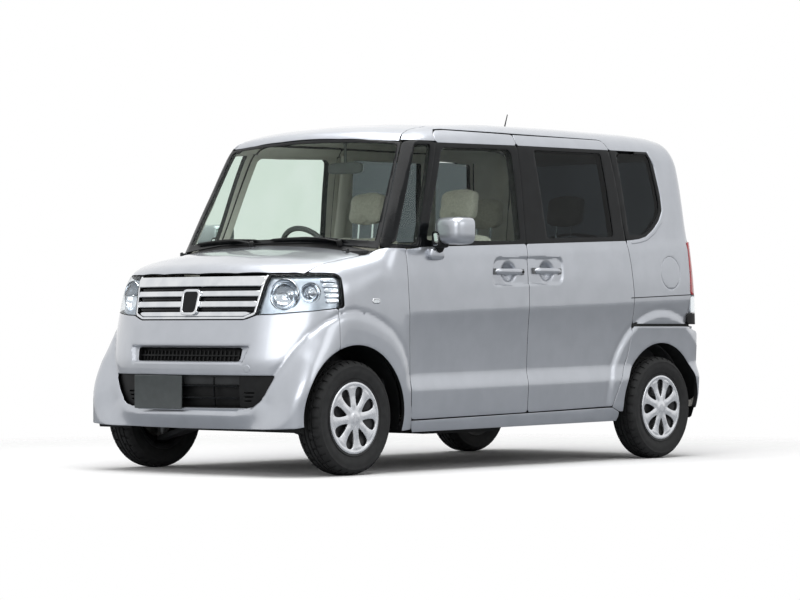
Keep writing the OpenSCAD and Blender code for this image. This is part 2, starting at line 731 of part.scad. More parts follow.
module engine() color([0.4, 0.4, 0.42]) box([-290, yf + 190, 250 + seam], [290, door_y - 130, 760]);
module fuel_tank() color(dark) box([-pipe_x + 30, door_y + 500, 170], [pipe_x - 30, door_y + 1080, floor_z - 20 - seam]);
pipe_x = 445;
pipe_z = 205;
module exhaust() color([0.45, 0.45, 0.45]) {
    translate([-pipe_x, door_y - 100, pipe_z]) rotate([-90, 0, 0]) cylinder(r = 20, h = rear_y + 130 - door_y + 100);
    translate([-pipe_x, rear_y + 120, 285]) rotate([-90, 0, 0]) cylinder(r = 85, h = 190);
    // Hangers under the floor
    box([-pipe_x - 6, door_y + 200, pipe_z], [-pipe_x + 6, door_y + 215, 230 - seam]);
    box([-pipe_x - 6, rear_y + 200, 300], [-pipe_x + 6, rear_y + 230, load_z - 20 - seam]);
}

arm_y = 22;
module front_suspension() color(dark) {
    // Subframe and its posts to the rails
    box([-apron_x + 10, front_y - 80, 200], [apron_x - 10, front_y + 120, 250]);
    both_sides() {
        box([apron_x - 60, front_y + 70, 249], [apron_x - 20, front_y + 110, 330 - seam]);
        // Lower arm to the lower ball joint
        difference() {
            hull() {
                rod_z(king_x, front_y, 140, 160, 28);
                box([apron_x - 30, front_y - 60, 200], [apron_x - 20, front_y + 60, 220]);
            }
            rod_z(king_x, front_y, 130, 200, 12 + run);
        }
        // Strut from the tower, with its fork to the upper ball joint
        rod_z(king_x - 72, front_y, 398, 720 - seam, 22);
        difference() {
            union() {
                rod_z(king_x, front_y, 398, 422, 28);
                box([king_x - 80, front_y - 18, 398], [king_x - 20, front_y + 18, 422]);
            }
            rod_z(king_x, front_y, 390, 430, 12 + run);
        }
    }
}

module knuckle() {
    rod_z(king_x, front_y, 180, 396, 22);
    rod_z(king_x, front_y, 142, 420, 12);
    rod_x(king_x, wheel_x + 40, front_y, axle_z, spindle_r);
    rod_x(king_x, wheel_x - 22, front_y, axle_z, 48);
}
module left_knuckle() color(dark) knuckle();
module right_knuckle() color(dark) other_side() knuckle();

module rear_axle() color(dark) {
    box([-wheel_x + 120, rear_y - 130, 250], [wheel_x - 120, rear_y - 60, 320]);
    both_sides() {
        box([wheel_x - 180, rear_y - 420, 250], [wheel_x - 120, rear_y + 40, 300]);
        box([wheel_x - 180, rear_y - 420, 290], [wheel_x - 120, rear_y - 350, floor_z - 20 - seam]);
        rod_x(wheel_x - 180, wheel_x + 40, rear_y, axle_z, spindle_r);
        rod_x(wheel_x - 180, wheel_x - 22, rear_y, axle_z, 60);
        rod_z(wheel_x - 200, rear_y - 95, 300, load_z - 20 - seam, 45);
    }
}

// ---------- Wheels, drawn about their own axle with the outer face at +Z

module tyre_shape() rotate_extrude() polygon([[rim_d / 2, -58], [rim_d / 2 + 18, -64],
    [rim_d / 2 + 45, -tyre_w / 2], [tyre_d / 2 - 26, -tyre_w / 2 + 6], [tyre_d / 2 - 6, -58],
    [tyre_d / 2, -44], [tyre_d / 2, 44], [tyre_d / 2 - 6, 58], [tyre_d / 2 - 26, tyre_w / 2 - 6],
    [rim_d / 2 + 45, tyre_w / 2], [rim_d / 2 + 18, 64], [rim_d / 2, 58]]);
module rim_shape() difference() {
    rotate_extrude() polygon([[spindle_r + run, -20], [44, -20], [44, 30], [rim_d / 2 - 26, 46],
        [rim_d / 2 - 16, 20], [rim_d / 2 - 16, -70], [rim_d / 2 + 15, -70], [rim_d / 2 + 15, -63.7], [rim_d / 2 - 0.3, -58.4],
        [rim_d / 2 - 0.3, 58.4], [rim_d / 2 + 15, 63.7], [rim_d / 2 + 15, 72], [rim_d / 2 - 14, 70],
        [100, 64], [30, 72], [0, 72], [0, 42], [spindle_r + run, 42]]);
    for (a = [0 : 45 : 315]) rotate([0, 0, a + 22.5]) translate([118, 0, 20]) cylinder(r = 22, h = 80);
}
module at_wheel(side, y) translate([side * wheel_x, y, axle_z]) rotate([0, side * 90, 0]) children();
module left_front_tyre() color(dark) at_wheel(1, front_y) tyre_shape();
module right_front_tyre() color(dark) at_wheel(-1, front_y) tyre_shape();
module left_rear_tyre() color(dark) at_wheel(1, rear_y) tyre_shape();
module right_rear_tyre() color(dark) at_wheel(-1, rear_y) tyre_shape();
module left_front_wheel() color(silver) at_wheel(1, front_y) rim_shape();
module right_front_wheel() color(silver) at_wheel(-1, front_y) rim_shape();
module left_rear_wheel() color(silver) at_wheel(1, rear_y) rim_shape();
module right_rear_wheel() color(silver) at_wheel(-1, rear_y) rim_shape();

floor_pan();
toe_board();
footwell_floor();
load_floor();
rear_wheel_housings();
bulkhead();
front_structure();
left_body_side();
right_body_side();
roof_panel();
windscreen();
side_windows();
sliding_doors();
front_fenders();
front_bumper();
rear_bumper();
grille();
headlamps();
tail_lamps();
front_plate();
wipers();
antenna();
interior_mirror();
dashboard();
front_seats();
rear_seats();
engine();
fuel_tank();
exhaust();
front_suspension();
rear_axle();
left_front_door();
right_front_door();
left_front_window();
right_front_window();
left_door_mirror();
right_door_mirror();
tailgate();
tailgate_window();
bonnet();
fuel_lid();
steering_wheel();
left_knuckle();
right_knuckle();
left_front_tyre();
right_front_tyre();
left_rear_tyre();
right_rear_tyre();
left_front_wheel();
right_front_wheel();
left_rear_wheel();
right_rear_wheel();
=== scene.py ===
"""A tall, boxy silver kei car: its looks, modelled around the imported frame.

Front is -Y, the car's left is +X, up is +Z, and every length is in metres.
"""

import math

import bmesh
import bpy
import numpy as np
from mathutils import Matrix, Vector


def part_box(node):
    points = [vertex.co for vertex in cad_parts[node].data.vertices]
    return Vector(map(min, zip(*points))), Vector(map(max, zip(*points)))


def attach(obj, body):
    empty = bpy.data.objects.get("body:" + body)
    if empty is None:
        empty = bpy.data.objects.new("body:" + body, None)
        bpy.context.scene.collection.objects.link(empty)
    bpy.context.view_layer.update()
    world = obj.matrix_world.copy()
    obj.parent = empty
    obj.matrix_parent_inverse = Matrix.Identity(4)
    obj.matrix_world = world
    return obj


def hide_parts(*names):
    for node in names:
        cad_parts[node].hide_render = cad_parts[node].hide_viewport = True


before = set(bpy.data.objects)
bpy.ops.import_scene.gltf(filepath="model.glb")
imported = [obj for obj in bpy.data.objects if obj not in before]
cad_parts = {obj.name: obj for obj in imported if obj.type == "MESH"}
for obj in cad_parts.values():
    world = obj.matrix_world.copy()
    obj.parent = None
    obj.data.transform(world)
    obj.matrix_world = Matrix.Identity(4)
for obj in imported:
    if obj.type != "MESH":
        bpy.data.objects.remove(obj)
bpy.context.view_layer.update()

MM = 0.001
HALF_TURN = math.pi
SIDES = ((1, "left"), (-1, "right"))


# ---------- Camera

def aim(thing, place, target):
    """Stands a lamp or camera at a place and turns it to a target."""
    thing.location = place
    thing.rotation_mode = "QUATERNION"
    thing.rotation_quaternion = (Vector(target) - Vector(place)).to_track_quat("-Z", "Y")
    bpy.context.scene.collection.objects.link(thing)


camera = bpy.data.objects.new("camera", bpy.data.cameras.new("camera"))
camera.data.sensor_width = 36.0
camera.data.lens = 131.28
CAMERA_PLACE = Vector((10.13, -11.7525, 0.716))
CAMERA_TURN = math.radians(40.93)
CAMERA_LIFT = math.radians(0.54)
aim(camera, CAMERA_PLACE, CAMERA_PLACE + Vector((-math.sin(CAMERA_TURN), math.cos(CAMERA_TURN),
                                                 math.tan(CAMERA_LIFT))))
bpy.context.scene.camera = camera


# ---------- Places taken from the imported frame

front_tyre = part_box("left_front_tyre")
rear_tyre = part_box("left_rear_tyre")
AXLE_Z = (front_tyre[0].z + front_tyre[1].z) / 2
FRONT_Y = (front_tyre[0].y + front_tyre[1].y) / 2
REAR_Y = (rear_tyre[0].y + rear_tyre[1].y) / 2
WHEEL_X = (front_tyre[0].x + front_tyre[1].x) / 2
# The wheel arches' radius, the seam between the front and the sliding door, and half a shut gap
ARCH_R = 0.352
B_SEAM_Y = 0.108
GAP = 3.0 * MM


# ---------- The body's outer surface, as one smooth form

class Line:
    """A smooth curve through pairs of (place, value)."""

    def __init__(self, points, soft=0.02):
        a = np.array(points, float)
        step, spare = 3 * MM, 1.0
        u = np.arange(a[0, 0] - spare, a[-1, 0] + spare, step)
        v = np.interp(u, a[:, 0], a[:, 1])
        first = (a[1, 1] - a[0, 1]) / (a[1, 0] - a[0, 0])
        last = (a[-1, 1] - a[-2, 1]) / (a[-1, 0] - a[-2, 0])
        v = np.where(u < a[0, 0], a[0, 1] + first * (u - a[0, 0]), v)
        v = np.where(u > a[-1, 0], a[-1, 1] + last * (u - a[-1, 0]), v)
        reach = int(3 * soft / step) + 1
        k = np.exp(-0.5 * (np.arange(-reach, reach + 1) * step / soft) ** 2)
        v = np.convolve(v, k / k.sum(), "same")
        self.u, self.v = u[reach:-reach], v[reach:-reach]
        self.t = np.gradient(self.v, step)

    def __call__(self, u):
        return np.interp(u, self.u, self.v)

    def tilt(self, u):
        return np.interp(u, self.u, self.t)


# Half the width by height; the roof line, the nose and the tail along the middle; and how far the nose, the tail and
# the roof fall away by the distance from the middle
half_width = Line([(0.15, 0.698), (0.19, 0.708), (0.26, 0.724), (0.42, 0.7325), (0.80, 0.7355), (0.98, 0.7325),
                   (1.12, 0.7215), (1.40, 0.6895), (1.64, 0.6550), (1.80, 0.629)], 0.035)
height = Line([(-1.72, 0.86), (-1.66, 0.955), (-1.615, 0.996), (-1.5475, 1.022), (-1.3975, 1.073),
               (-1.25, 1.103), (-1.0905, 1.1265), (-1.0605, 1.168), (-0.7905, 1.668), (-0.752, 1.712),
               (-0.65, 1.741), (-0.4905, 1.764), (0.0095, 1.793), (0.60, 1.800), (1.20, 1.799), (1.38, 1.793),
               (1.50, 1.778), (1.60, 1.755)], 0.016)
nose = Line([(0.10, -1.60), (0.225, -1.648), (0.30, -1.684), (0.40, -1.6965), (0.56, -1.6965), (0.69, -1.668),
             (0.83, -1.6355), (0.978, -1.5995), (1.10, -1.566)], 0.022)
setback = Line([(-0.06, 0.0), (0.06, 0.0), (0.25, 0.009), (0.43, 0.040), (0.56, 0.090), (0.65, 0.148),
                (0.72, 0.215), (0.80, 0.31)], 0.04)
tail = Line([(0.10, 1.63), (0.25, 1.668), (0.34, 1.6955), (0.60, 1.6965), (0.694, 1.6955), (0.716, 1.672),
             (0.90, 1.6655), (1.20, 1.6405), (1.64, 1.5825), (1.72, 1.569), (1.85, 1.545)], 0.006)
round_back = Line([(-0.1, 0.0), (0.0, 0.0), (0.30, 0.006), (0.52, 0.018), (0.64, 0.034), (0.76, 0.062)], 0.05)
shoulder = Line([(-1.7, 0.15), (-1.2, 0.15), (-1.02, 0.085), (-0.85, 0.07), (-0.66, 0.09), (-0.4, 0.125),
                 (1.6, 0.125)], 0.05)
crown = Line([(-0.1, 0.0), (0.0, 0.0), (0.30, 0.006), (0.45, 0.016), (0.56, 0.028), (0.70, 0.055)], 0.05)
bow = Line([(-1.7, 0.15), (-0.70, 0.13), (-0.35, 0.0), (1.7, 0.0)], 0.08)


def smooth_max(a, b, k):
    """The larger of two values, rounded over where they meet."""
    h = np.maximum(k - np.abs(a - b), 0.0)
    return np.maximum(a, b) + h * h / (4 * k)


def ramp(v):
    """An even rise from 0 to 1."""
    v = np.clip(v, 0.0, 1.0)
    return v * v * (3 - 2 * v)


def inside(points, polygon):
    """Signed distance of flat points to a closed polygon, below zero inside it."""
    p = np.array(polygon, float)
    q = np.roll(p, -1, axis=0)
    best = np.full(len(points), 1e9)
    odd = np.zeros(len(points), bool)
    for a, b in zip(p, q):
        d = b - a
        w = points - a
        t = np.clip((w @ d) / max(d @ d, 1e-12), 0, 1)
        best = np.minimum(best, ((w - t[:, None] * d) ** 2).sum(1))
        cross = (a[1] > points[:, 1]) != (b[1] > points[:, 1])
        with np.errstate(divide="ignore", invalid="ignore"):
            at = a[0] + (points[:, 1] - a[1]) * d[0] / (d[1] if d[1] else 1e-12)
        odd ^= cross & (points[:, 0] < at)
    best = np.sqrt(best)
    return np.where(odd, -best, best)


class Rays:
    """Rays that fan out from a bent spine inside the body: flat coordinates (along, up) for any place on its skin."""

    def __init__(self, x0, y0, facing, z0, radius, length=50.0):
        self.x0, self.y0, self.facing, self.z0, self.r, self.length = x0, y0, facing, z0, radius, length
        self.quarter = x0 + radius * HALF_TURN / 2

    def flat(self, places):
        p = np.array(places, float).reshape(-1, 3)
        sign = np.where(p[:, 0] < 0, -1.0, 1.0)
        x, v = np.abs(p[:, 0]), self.facing * (p[:, 1] - self.y0)
        turn = np.arctan2(x - self.x0, np.maximum(v, 1e-9))
        along = np.where(v <= 0, self.quarter - v, np.where(x <= self.x0, x, self.x0 + self.r * turn))
        level = np.where(v <= 0, x - self.x0, np.where(x <= self.x0, v, np.hypot(x - self.x0, v)))
        past = -v - self.length
        second = np.arctan2(np.maximum(past, 0), np.maximum(x - self.x0, 1e-9))
        along = np.where(past > 0, self.quarter + self.length + self.r * second, along)
        level = np.where(past > 0, np.hypot(x - self.x0, past), level)
        up = np.where(p[:, 2] <= self.z0, p[:, 2], self.z0 + self.r * np.arctan2(p[:, 2] - self.z0,
                                                                                 np.maximum(level, 1e-9)))
        return np.stack([sign * along, up], 1)

    def cast(self, flat):
        s, t = flat[:, 0], flat[:, 1]
        sign, a = np.where(s < 0, -1.0, 1.0), np.abs(s)
        turn = np.clip((a - self.x0) / self.r, 0, HALF_TURN / 2)
        lift = np.maximum(t - self.z0, 0) / self.r
        back = np.maximum(a - self.quarter, 0)
        turn = turn + np.maximum(back - self.length, 0) / self.r
        back = np.minimum(back, self.length)
        start = np.stack([sign * np.minimum(a, self.x0), self.y0 - self.facing * back, np.minimum(t, self.z0)],
                         1)
        way = np.stack([sign * np.sin(turn) * np.cos(lift), self.facing * np.cos(turn) * np.cos(lift),
                        np.sin(lift)], 1)
        return start, way


class Down:
    """Upright rays for the bonnet and the roof, with (x, y) as flat coordinates."""

    def __init__(self, z0):
        self.z0 = z0

    def flat(self, places):
        return np.array(places, float).reshape(-1, 3)[:, :2]

    def cast(self, flat):
        start = np.column_stack([flat, np.full(len(flat), self.z0)])
        way = np.zeros_like(start)
        way[:, 2] = 1.0
        return start, way


# A level no place on the car reaches, for rays that stay level
NEVER = 9.0
LOW = Rays(0.45, -1.2, -1, 0.85, 0.35)
HIGH = Rays(0.40, -0.45, -1, 1.50, 0.30, 1.75)
SIDE = Rays(0.30, -1.5, -1, NEVER, 0.30)
BACK_LOW = Rays(0.45, 1.30, 1, NEVER, 0.35)
GATE = Rays(2.0, 0.3, 1, 1.45, 0.30)
LID = Down(0.80)
TOP = Down(1.30)

# Along and up, where the raised flare and chin begin: from the chin's middle, round the intake, over the wheel
FLARE = [(-0.02, 0.312), (0.34, 0.312), (0.42, 0.328), (0.475, 0.372), (0.505, 0.44), (0.54, 0.50),
         (0.60, 0.60), (0.66, 0.675), (0.735, 0.735), (0.83, 0.776), (0.94, 0.787), (1.05, 0.770),
         (1.15, 0.733), (1.235, 0.685), (1.30, 0.615), (1.345, 0.53), (1.372, 0.43), (1.39, 0.26), (1.40, -0.3),
         (-0.02, -0.3)]


def rounded(points, radius, steps=5):
    """The polygon with each corner turned into an arc."""
    p = [Vector(a) for a in points]
    out = []
    for i, here in enumerate(p):
        before, after = p[i - 1], p[(i + 1) % len(p)]
        r = radius[i] if hasattr(radius, "__len__") else radius
        a = here + (before - here).normalized() * min(r, (before - here).length * 0.49)
        b = here + (after - here).normalized() * min(r, (after - here).length * 0.49)
        if r < 1e-5:
            out.append(tuple(here))
            continue
        for k in range(steps + 1):
            t = k / steps
            out.append(tuple(a * (1 - t) ** 2 + here * 2 * t * (1 - t) + b * t * t))
    return out


# The shallow dish round both handles and the middles of their finger bowls, as (y, z)
RECESS = rounded([(-0.195, 0.93), (0.395, 0.948), (0.400, 1.086), (-0.170, 1.072)], 0.045)
HANDLES = ((-0.052, 1.0), (0.265, 1.008))
# The dish round the bumper's upper slot, as (x, z)
SLOT_DISH = [(-0.412, 0.632), (0.412, 0.632), (0.378, 0.540), (-0.378, 0.540)]
# Height at y = 0 and rise per metre rearward, of the two creases and of the line where the side turns in under the
# windows
UPPER_CREASE = (0.8112, 0.036)
LOWER_CREASE = (0.4930, 0.018)
SHOULDER_LINE = (1.092, 0.037)
# From here outward a place belongs to the car's side
SIDE_FROM = 0.5


def front_flare(flat):
    """The raised flare and chin: a step along its edge with a shallow groove before it, taller over the chin."""
    d = -inside(flat, FLARE)
    rise = (11 + 6 * ramp((0.55 - flat[:, 0]) / 0.1)) * MM
    step = rise * (1 - np.exp(-np.maximum(d, 0) / 0.012)) * ramp((d + 0.002) / 0.014)
    return step - 3 * MM * np.exp(-(np.minimum(d, 0) / 0.02) ** 2) * (d < 0)


def rear_flare(y, z):
    """The raised ring round the rear wheel, with a shallow groove outside it, faded out toward the bumper's corner."""
    outer = 0.525
    r = np.hypot((y - REAR_Y) / 0.93, z - AXLE_Z)
    groove = 2 * MM * np.exp(-((r - outer - 0.010) / 0.012) ** 2) * (r > outer)
    return (10 * MM * ramp((outer - r) / 0.022) - groove) * ramp((z - 0.2) / 0.1) * ramp((1.66 - y) / 0.12)


def creases(y, z):
    """Two creases along the doors: the side falls in under the upper one, steps out at the lower, and turns in
    a little as it comes up to the windows."""
    upper, lower, under = (at + rise * y - z for at, rise in (UPPER_CREASE, LOWER_CREASE, SHOULDER_LINE))
    fall = -22 * MM * (1 - np.exp(-np.maximum(upper, 0) / 0.18))
    ledge = lower / 0.075
    out = fall + 8 * MM * (ramp(ledge) + np.clip(ledge, 0, 1))
    return out - 6 * MM * ramp(-under / 0.065) * (1 - ramp((z - 1.25) / 0.30))


def handle_dish(yz):
    """How far the handles' shared dish and their two finger bowls go in."""
    deep = 7 * MM * ramp((0.003 - inside(yz, RECESS)) / 0.009)
    for y, z in HANDLES:
        r = np.hypot((yz[:, 0] - y) / 1.15, yz[:, 1] - z)
        deep += 26 * MM * ramp((0.060 - r) / 0.045)
    return deep


def swell(p):
    """How far the skin stands out for the flares, the creases along the doors and the dishes."""
    x, y, z = np.abs(p[:, 0]), p[:, 1], p[:, 2]
    flat = LOW.flat(p)
    flat[:, 0] = np.abs(flat[:, 0])
    flat[:, 1] = np.where(z > LOW.z0, 2.0, flat[:, 1])
    out = np.zeros(len(p))
    near = (flat[:, 0] < 1.45) & (z < 0.84) & (y < -0.75)
    if near.any():
        out[near] += front_flare(flat[near])
    out += ramp((y + 0.90) / 0.12) * (x > SIDE_FROM) * creases(y, z)
    out += (x > SIDE_FROM) * (y > 0.6) * rear_flare(y, z)
    face = (y < -1.45) & (z > 0.50) & (z < 0.66) & (x < SIDE_FROM)
    if face.any():
        out[face] -= 19 * MM * ramp(-inside(p[face][:, [0, 2]], SLOT_DISH) / 0.018)
    dish = (x > SIDE_FROM) & (y > -0.25) & (y < 0.45) & (z > 0.9) & (z < 1.12)
    if dish.any():
        out[dish] -= handle_dish(p[dish][:, 1:])
    return out


# How softly the nose meets the sides
NOSE_ROUND = 0.075


def low_corner(p, side, front):
    """How much squarer the bumper's low front corners are than the plain form, inside the flare."""
    x, y, z = np.abs(p[:, 0]), p[:, 1], p[:, 2]
    flat = LOW.flat(p)
    flat[:, 0] = np.abs(flat[:, 0])
    flat[:, 1] = z
    stand = np.maximum(z, 0.42)
    corner = ramp((x - 0.3) / 0.3)
    wide = x - half_width(z) - corner * (half_width(stand) - half_width(z))
    reach = nose(z) + corner * (nose(stand) - nose(z)) + 0.38 * setback(x) - y
    square = smooth_max(wide, reach, NOSE_ROUND)
    return np.maximum(smooth_max(side, front, NOSE_ROUND) - square, 0) * ramp(-inside(flat, FLARE) / 0.16)


def body(p, plain=False):
    """Distance from the skin, below zero inside the car; plain leaves out the flares, creases and dishes."""
    x, y, z = np.abs(p[:, 0]), p[:, 1], p[:, 2]
    side = (x - half_width(z)) / np.hypot(1, half_width.tilt(z))
    bowed = y - bow(y) * x * x
    top = (z - height(bowed) + crown(x)) / np.hypot(1, height.tilt(bowed))
    front = (nose(z) + setback(x) - y) / np.hypot(np.hypot(1, nose.tilt(z)), setback.tilt(x))
    fuller = 0.40 + 0.25 * ramp((z - 0.65) / 0.1)
    rear = (y - tail(z) + fuller * round_back(x)) / np.hypot(np.hypot(1, tail.tilt(z)), round_back.tilt(x))
    d = smooth_max(side, top, shoulder(y))
    low = np.zeros(len(p))
    near = (y < -1.2) & (z < 0.84)
    if near.any():
        low[near] = low_corner(p[near], side[near], front[near])
    d = smooth_max(d, front, NOSE_ROUND) - low
    d = smooth_max(d, rear, np.where(z > 0.70, 0.09, 0.055))
    return d if plain else d - swell(p)


def land(rays, flat, plain=False):
    """Where each ray meets the skin."""
    start, way = rays.cast(np.array(flat, float).reshape(-1, 2))
    farthest, halvings = 1.6, 26
    near, far = np.zeros(len(start)), np.full(len(start), farthest)
    for _ in range(halvings):
        mid = (near + far) / 2
        out = body(start + way * mid[:, None], plain) > 0
        far, near = np.where(out, mid, far), np.where(out, near, mid)
    return start + way * near[:, None]


def facing_out(p, plain=False):
    """The skin's outward direction at each place."""
    shifts = 0.8 * MM * np.eye(3)
    n = np.stack([body(p + shift, plain) - body(p - shift, plain) for shift in shifts], 1)
    return n / np.maximum(np.linalg.norm(n, axis=1), 1e-9)[:, None]


def fine(points, closed=True, step=0.03):
    """The same outline with more points along its sides."""
    p = [Vector(a) for a in points]
    out = []
    for i in range(len(p) if closed else len(p) - 1):
        a, b = p[i], p[(i + 1) % len(p)]
        n = max(1, int((b - a).length / step))
        out += [tuple(a.lerp(b, k / n)) for k in range(n)]
    return out if closed else out + [tuple(p[-1])]


def on_side(yz):
    """Places on the left side for pairs of (y, z)."""
    rays = Rays(0.2, -3.0, -1, NEVER, 0.1)
    q = np.array(yz, float)
    flat = np.stack([rays.quarter + q[:, 0] - rays.y0, q[:, 1]], 1)
    return [tuple(v) for v in land(rays, flat, True)]


def on_end(xz, facing):
    """Places on the front (-1) or the rear (1) for pairs of (x, z)."""
    rays = Rays(2.0, 0.3 * facing, facing, NEVER, 0.1)
    return [tuple(v) for v in land(rays, xz, True)]


def on_top(rays, xy):
    """Places on the bonnet or the roof for pairs of (x, y)."""
    return [tuple(v) for v in land(rays, xy, True)]


def ring_of(centre, radius, count):
    """Points round a flat circle."""
    turns = np.linspace(0, 2 * HALF_TURN, count, endpoint=False)
    return [(centre[0] + radius * math.cos(t), centre[1] + radius * math.sin(t)) for t in turns]


# ---------- Making meshes

def trim(bm, distance):
    """Cuts a flat sheet along the line where distance is zero and keeps what lies inside."""
    bm.verts.ensure_lookup_table()
    flat = np.array([v.co[:2] for v in bm.verts])
    d = distance(flat)
    # Corners near the line slide onto it, so that no sliver is cut off beside them
    size = min(e.calc_length() for e in bm.edges)
    close = np.abs(d) < 0.28 * size
    if close.any():
        q = flat[close]
        shift = 0.1 * MM
        slope = np.stack([(distance(q + step) - distance(q - step)) / (2 * shift) for step in ([shift, 0],
                                                                                               [0, shift])], 1)
        q = q - slope * (d[close] / np.maximum((slope ** 2).sum(1), 0.25))[:, None]
        for i, place in zip(np.flatnonzero(close), q):
            bm.verts[i].co.x, bm.verts[i].co.y = place
        d[close] = 0.0
    edge_verts = [bm.verts[i] for i in np.flatnonzero(close)]
    values = {v: float(k) for v, k in zip(bm.verts, d)}
    for e in [e for e in bm.edges if values[e.verts[0]] * values[e.verts[1]] < 0]:
        a, b = e.verts
        new = bmesh.utils.edge_split(e, a, values[a] / (values[a] - values[b]))[1]
        values[new] = 0.0
        edge_verts.append(new)
    bmesh.ops.connect_verts(bm, verts=edge_verts)
    gone = []
    for f in bm.faces:
        levels = [values.get(v, 0.0) for v in f.verts]
        if sum(levels) > 0 or min(levels) >= 0 and distance(np.array([f.calc_center_median()[:2]]))[0] > 0:
            gone.append(f)
    bmesh.ops.delete(bm, geom=gone, context="FACES")
    loose = [v for v in bm.verts if not v.link_faces]
    bmesh.ops.delete(bm, geom=loose, context="VERTS")


def sheet(outline, cell, distance, refine=None):
    """A flat grid over the outline, trimmed to it."""
    p, cell = np.array(outline), np.array(cell) * np.ones(2)
    low, high = p.min(0) - cell, p.max(0) + cell
    n = np.maximum(np.ceil((high - low) / cell).astype(int), 2)
    bm = bmesh.new()
    bmesh.ops.create_grid(bm, x_segments=int(n[0]), y_segments=int(n[1]), size=0.5)
    bmesh.ops.scale(bm, vec=(*(n * cell), 1), verts=bm.verts)
    bmesh.ops.translate(bm, vec=(*(low + n * cell / 2), 0), verts=bm.verts)
    if refine:
        (x0, y0), (x1, y1) = refine
        edges = [e for e in bm.edges if all(x0 < v.co.x < x1 and y0 < v.co.y < y1 for v in e.verts)]
        bmesh.ops.subdivide_edges(bm, edges=edges, cuts=1, use_grid_fill=True)
    trim(bm, distance)
    return bm


def to_object(bm, name, material, sharp=35, ride=None, lining=()):
    """Makes an object of a shape: smooth shading with sharp edges kept, its materials, and the body it rides."""
    for f in bm.faces:
        f.smooth = True
    limit = math.radians(sharp)
    for e in bm.edges:
        if len(e.link_faces) == 2 and e.calc_face_angle(0) > limit:
            e.smooth = False
    mesh = bpy.data.meshes.new(name)
    bm.to_mesh(mesh)
    bm.free()
    o = bpy.data.objects.new(name, mesh)
    bpy.context.scene.collection.objects.link(o)
    for m in (material, *lining):
        mesh.materials.append(m)
    if ride:
        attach(o, ride)
    return o


def skin(name, rays, outline, material, ride, holes=(), cell=0.014, depth=12 * MM, offset=0.0, gap=GAP,
         refine=None, side=1, roll=1.2 * MM, plain=False, hole_gap=0.0, lining=None):
    """A body panel: a sheet laid on the skin, with rolled edges and a given depth.

    Outline and holes are places in space. The sheet stops a gap inside the outline and a hole_gap outside each hole.
    """
    flat = rays.flat(outline)
    cuts = [rays.flat(h) for h in holes]

    def distance(q):
        d = inside(q, flat) + gap
        for h in cuts:
            d = np.maximum(d, hole_gap - inside(q, h))
        return d

    bm = sheet(flat, cell, distance, refine)
    q = np.array([v.co[:2] for v in bm.verts])
    p = land(rays, q, plain)
    n = facing_out(p, plain)
    p = p + n * offset
    for v, place in zip(bm.verts, p):
        v.co = place
    bmesh.ops.remove_doubles(bm, verts=bm.verts, dist=0.4 * MM)
    bmesh.ops.recalc_face_normals(bm, faces=bm.faces)
    bm.normal_update()
    first = bm.faces[:][0]
    c = np.array([first.calc_center_median()])
    if Vector(facing_out(c, plain)[0]).dot(first.normal) < 0:
        bmesh.ops.reverse_faces(bm, faces=bm.faces)
    # Painted and film panels get black sides: painted shade deep in the shut gaps, partly standing for rubber seals
    if lining is None:
        lining = (black_plastic, cabin_plastic) if material in (silver_paint, black_film) else ()
    shell(bm, depth, roll, len(lining))
    if side < 0:
        flip(bm)
    return to_object(bm, name, material, ride=ride, lining=lining)


def flip(bm):
    """Moves a shape to the car's other side."""
    bmesh.ops.scale(bm, vec=(-1, 1, 1), verts=bm.verts)
    bmesh.ops.reverse_faces(bm, faces=bm.faces)


def shell(bm, depth, roll=1.2 * MM, linings=0):
    """Gives an open sheet its rolled edge, its sides and its back.

    With linings, the sides take the second material and the back takes the last.
    """
    bm.normal_update()
    front = list(bm.faces)
    normal = {v: v.normal.copy() for v in bm.verts}
    back = bmesh.ops.duplicate(bm, geom=list(bm.verts) + list(bm.edges) + front)
    pair = {v: w for v, w in back["vert_map"].items() if v in normal}
    for v in list(pair):
        pair[v].co = v.co - normal[v] * depth
    rear_faces = [f for f in back["geom"] if isinstance(f, bmesh.types.BMFace)]
    bmesh.ops.reverse_faces(bm, faces=rear_faces)
    for f in rear_faces:
        f.material_index = linings
    ring = list(dict.fromkeys(e for f in front for e in f.edges if e.is_boundary))
    outward = {}
    for e in ring:
        f = e.link_faces[0]
        a, b = e.verts
        t = (b.co - a.co).normalized().cross(f.normal)
        if t.dot(f.calc_center_median() - (a.co + b.co) / 2) > 0:
            t = -t
        for v in e.verts:
            outward[v] = outward.get(v, Vector()) + t
    base = {v: (v.co.copy(), normal[v], outward[v].normalized()) for v in outward}
    current = {v: v for v in base}
    # Shares of the roll outward and down at each step round the edge
    steps = [(0.6, 0.18), (0.92, 0.55), (1.0, 1.1)] if roll else []
    for out, down in steps + [(None, None)]:
        made = bmesh.ops.extrude_edge_only(bm, edges=ring)["geom"]
        fresh = set(made)
        if out is None and linings:
            for f in fresh:
                if isinstance(f, bmesh.types.BMFace):
                    f.material_index = 1
        link = {}
        for v, old in current.items():
            beside = [e.other_vert(old) for e in old.link_edges]
            twin = [w for w in beside if w in fresh and (w.co - old.co).length < 1e-9]
            if twin:
                link[v] = twin[0]
        for v, w in link.items():
            place, n, o = base[v]
            w.co = pair[v].co if out is None else place + o * roll * out - n * roll * down
        current = link
        ends = set(link.values())
        ring = [g for g in made if isinstance(g, bmesh.types.BMEdge) and all(v in ends for v in g.verts)]
    bmesh.ops.remove_doubles(bm, verts=bm.verts, dist=0.02 * MM)
    bmesh.ops.recalc_face_normals(bm, faces=bm.faces)


# ---------- Materials

def colour(hex_code):
    """A linear colour from an sRGB hex code."""
    parts = [int(hex_code[i:i + 2], 16) / 255 for i in (1, 3, 5)]
    return [c / 12.92 if c <= 0.04045 else ((c + 0.055) / 1.055) ** 2.4 for c in parts] + [1.0]


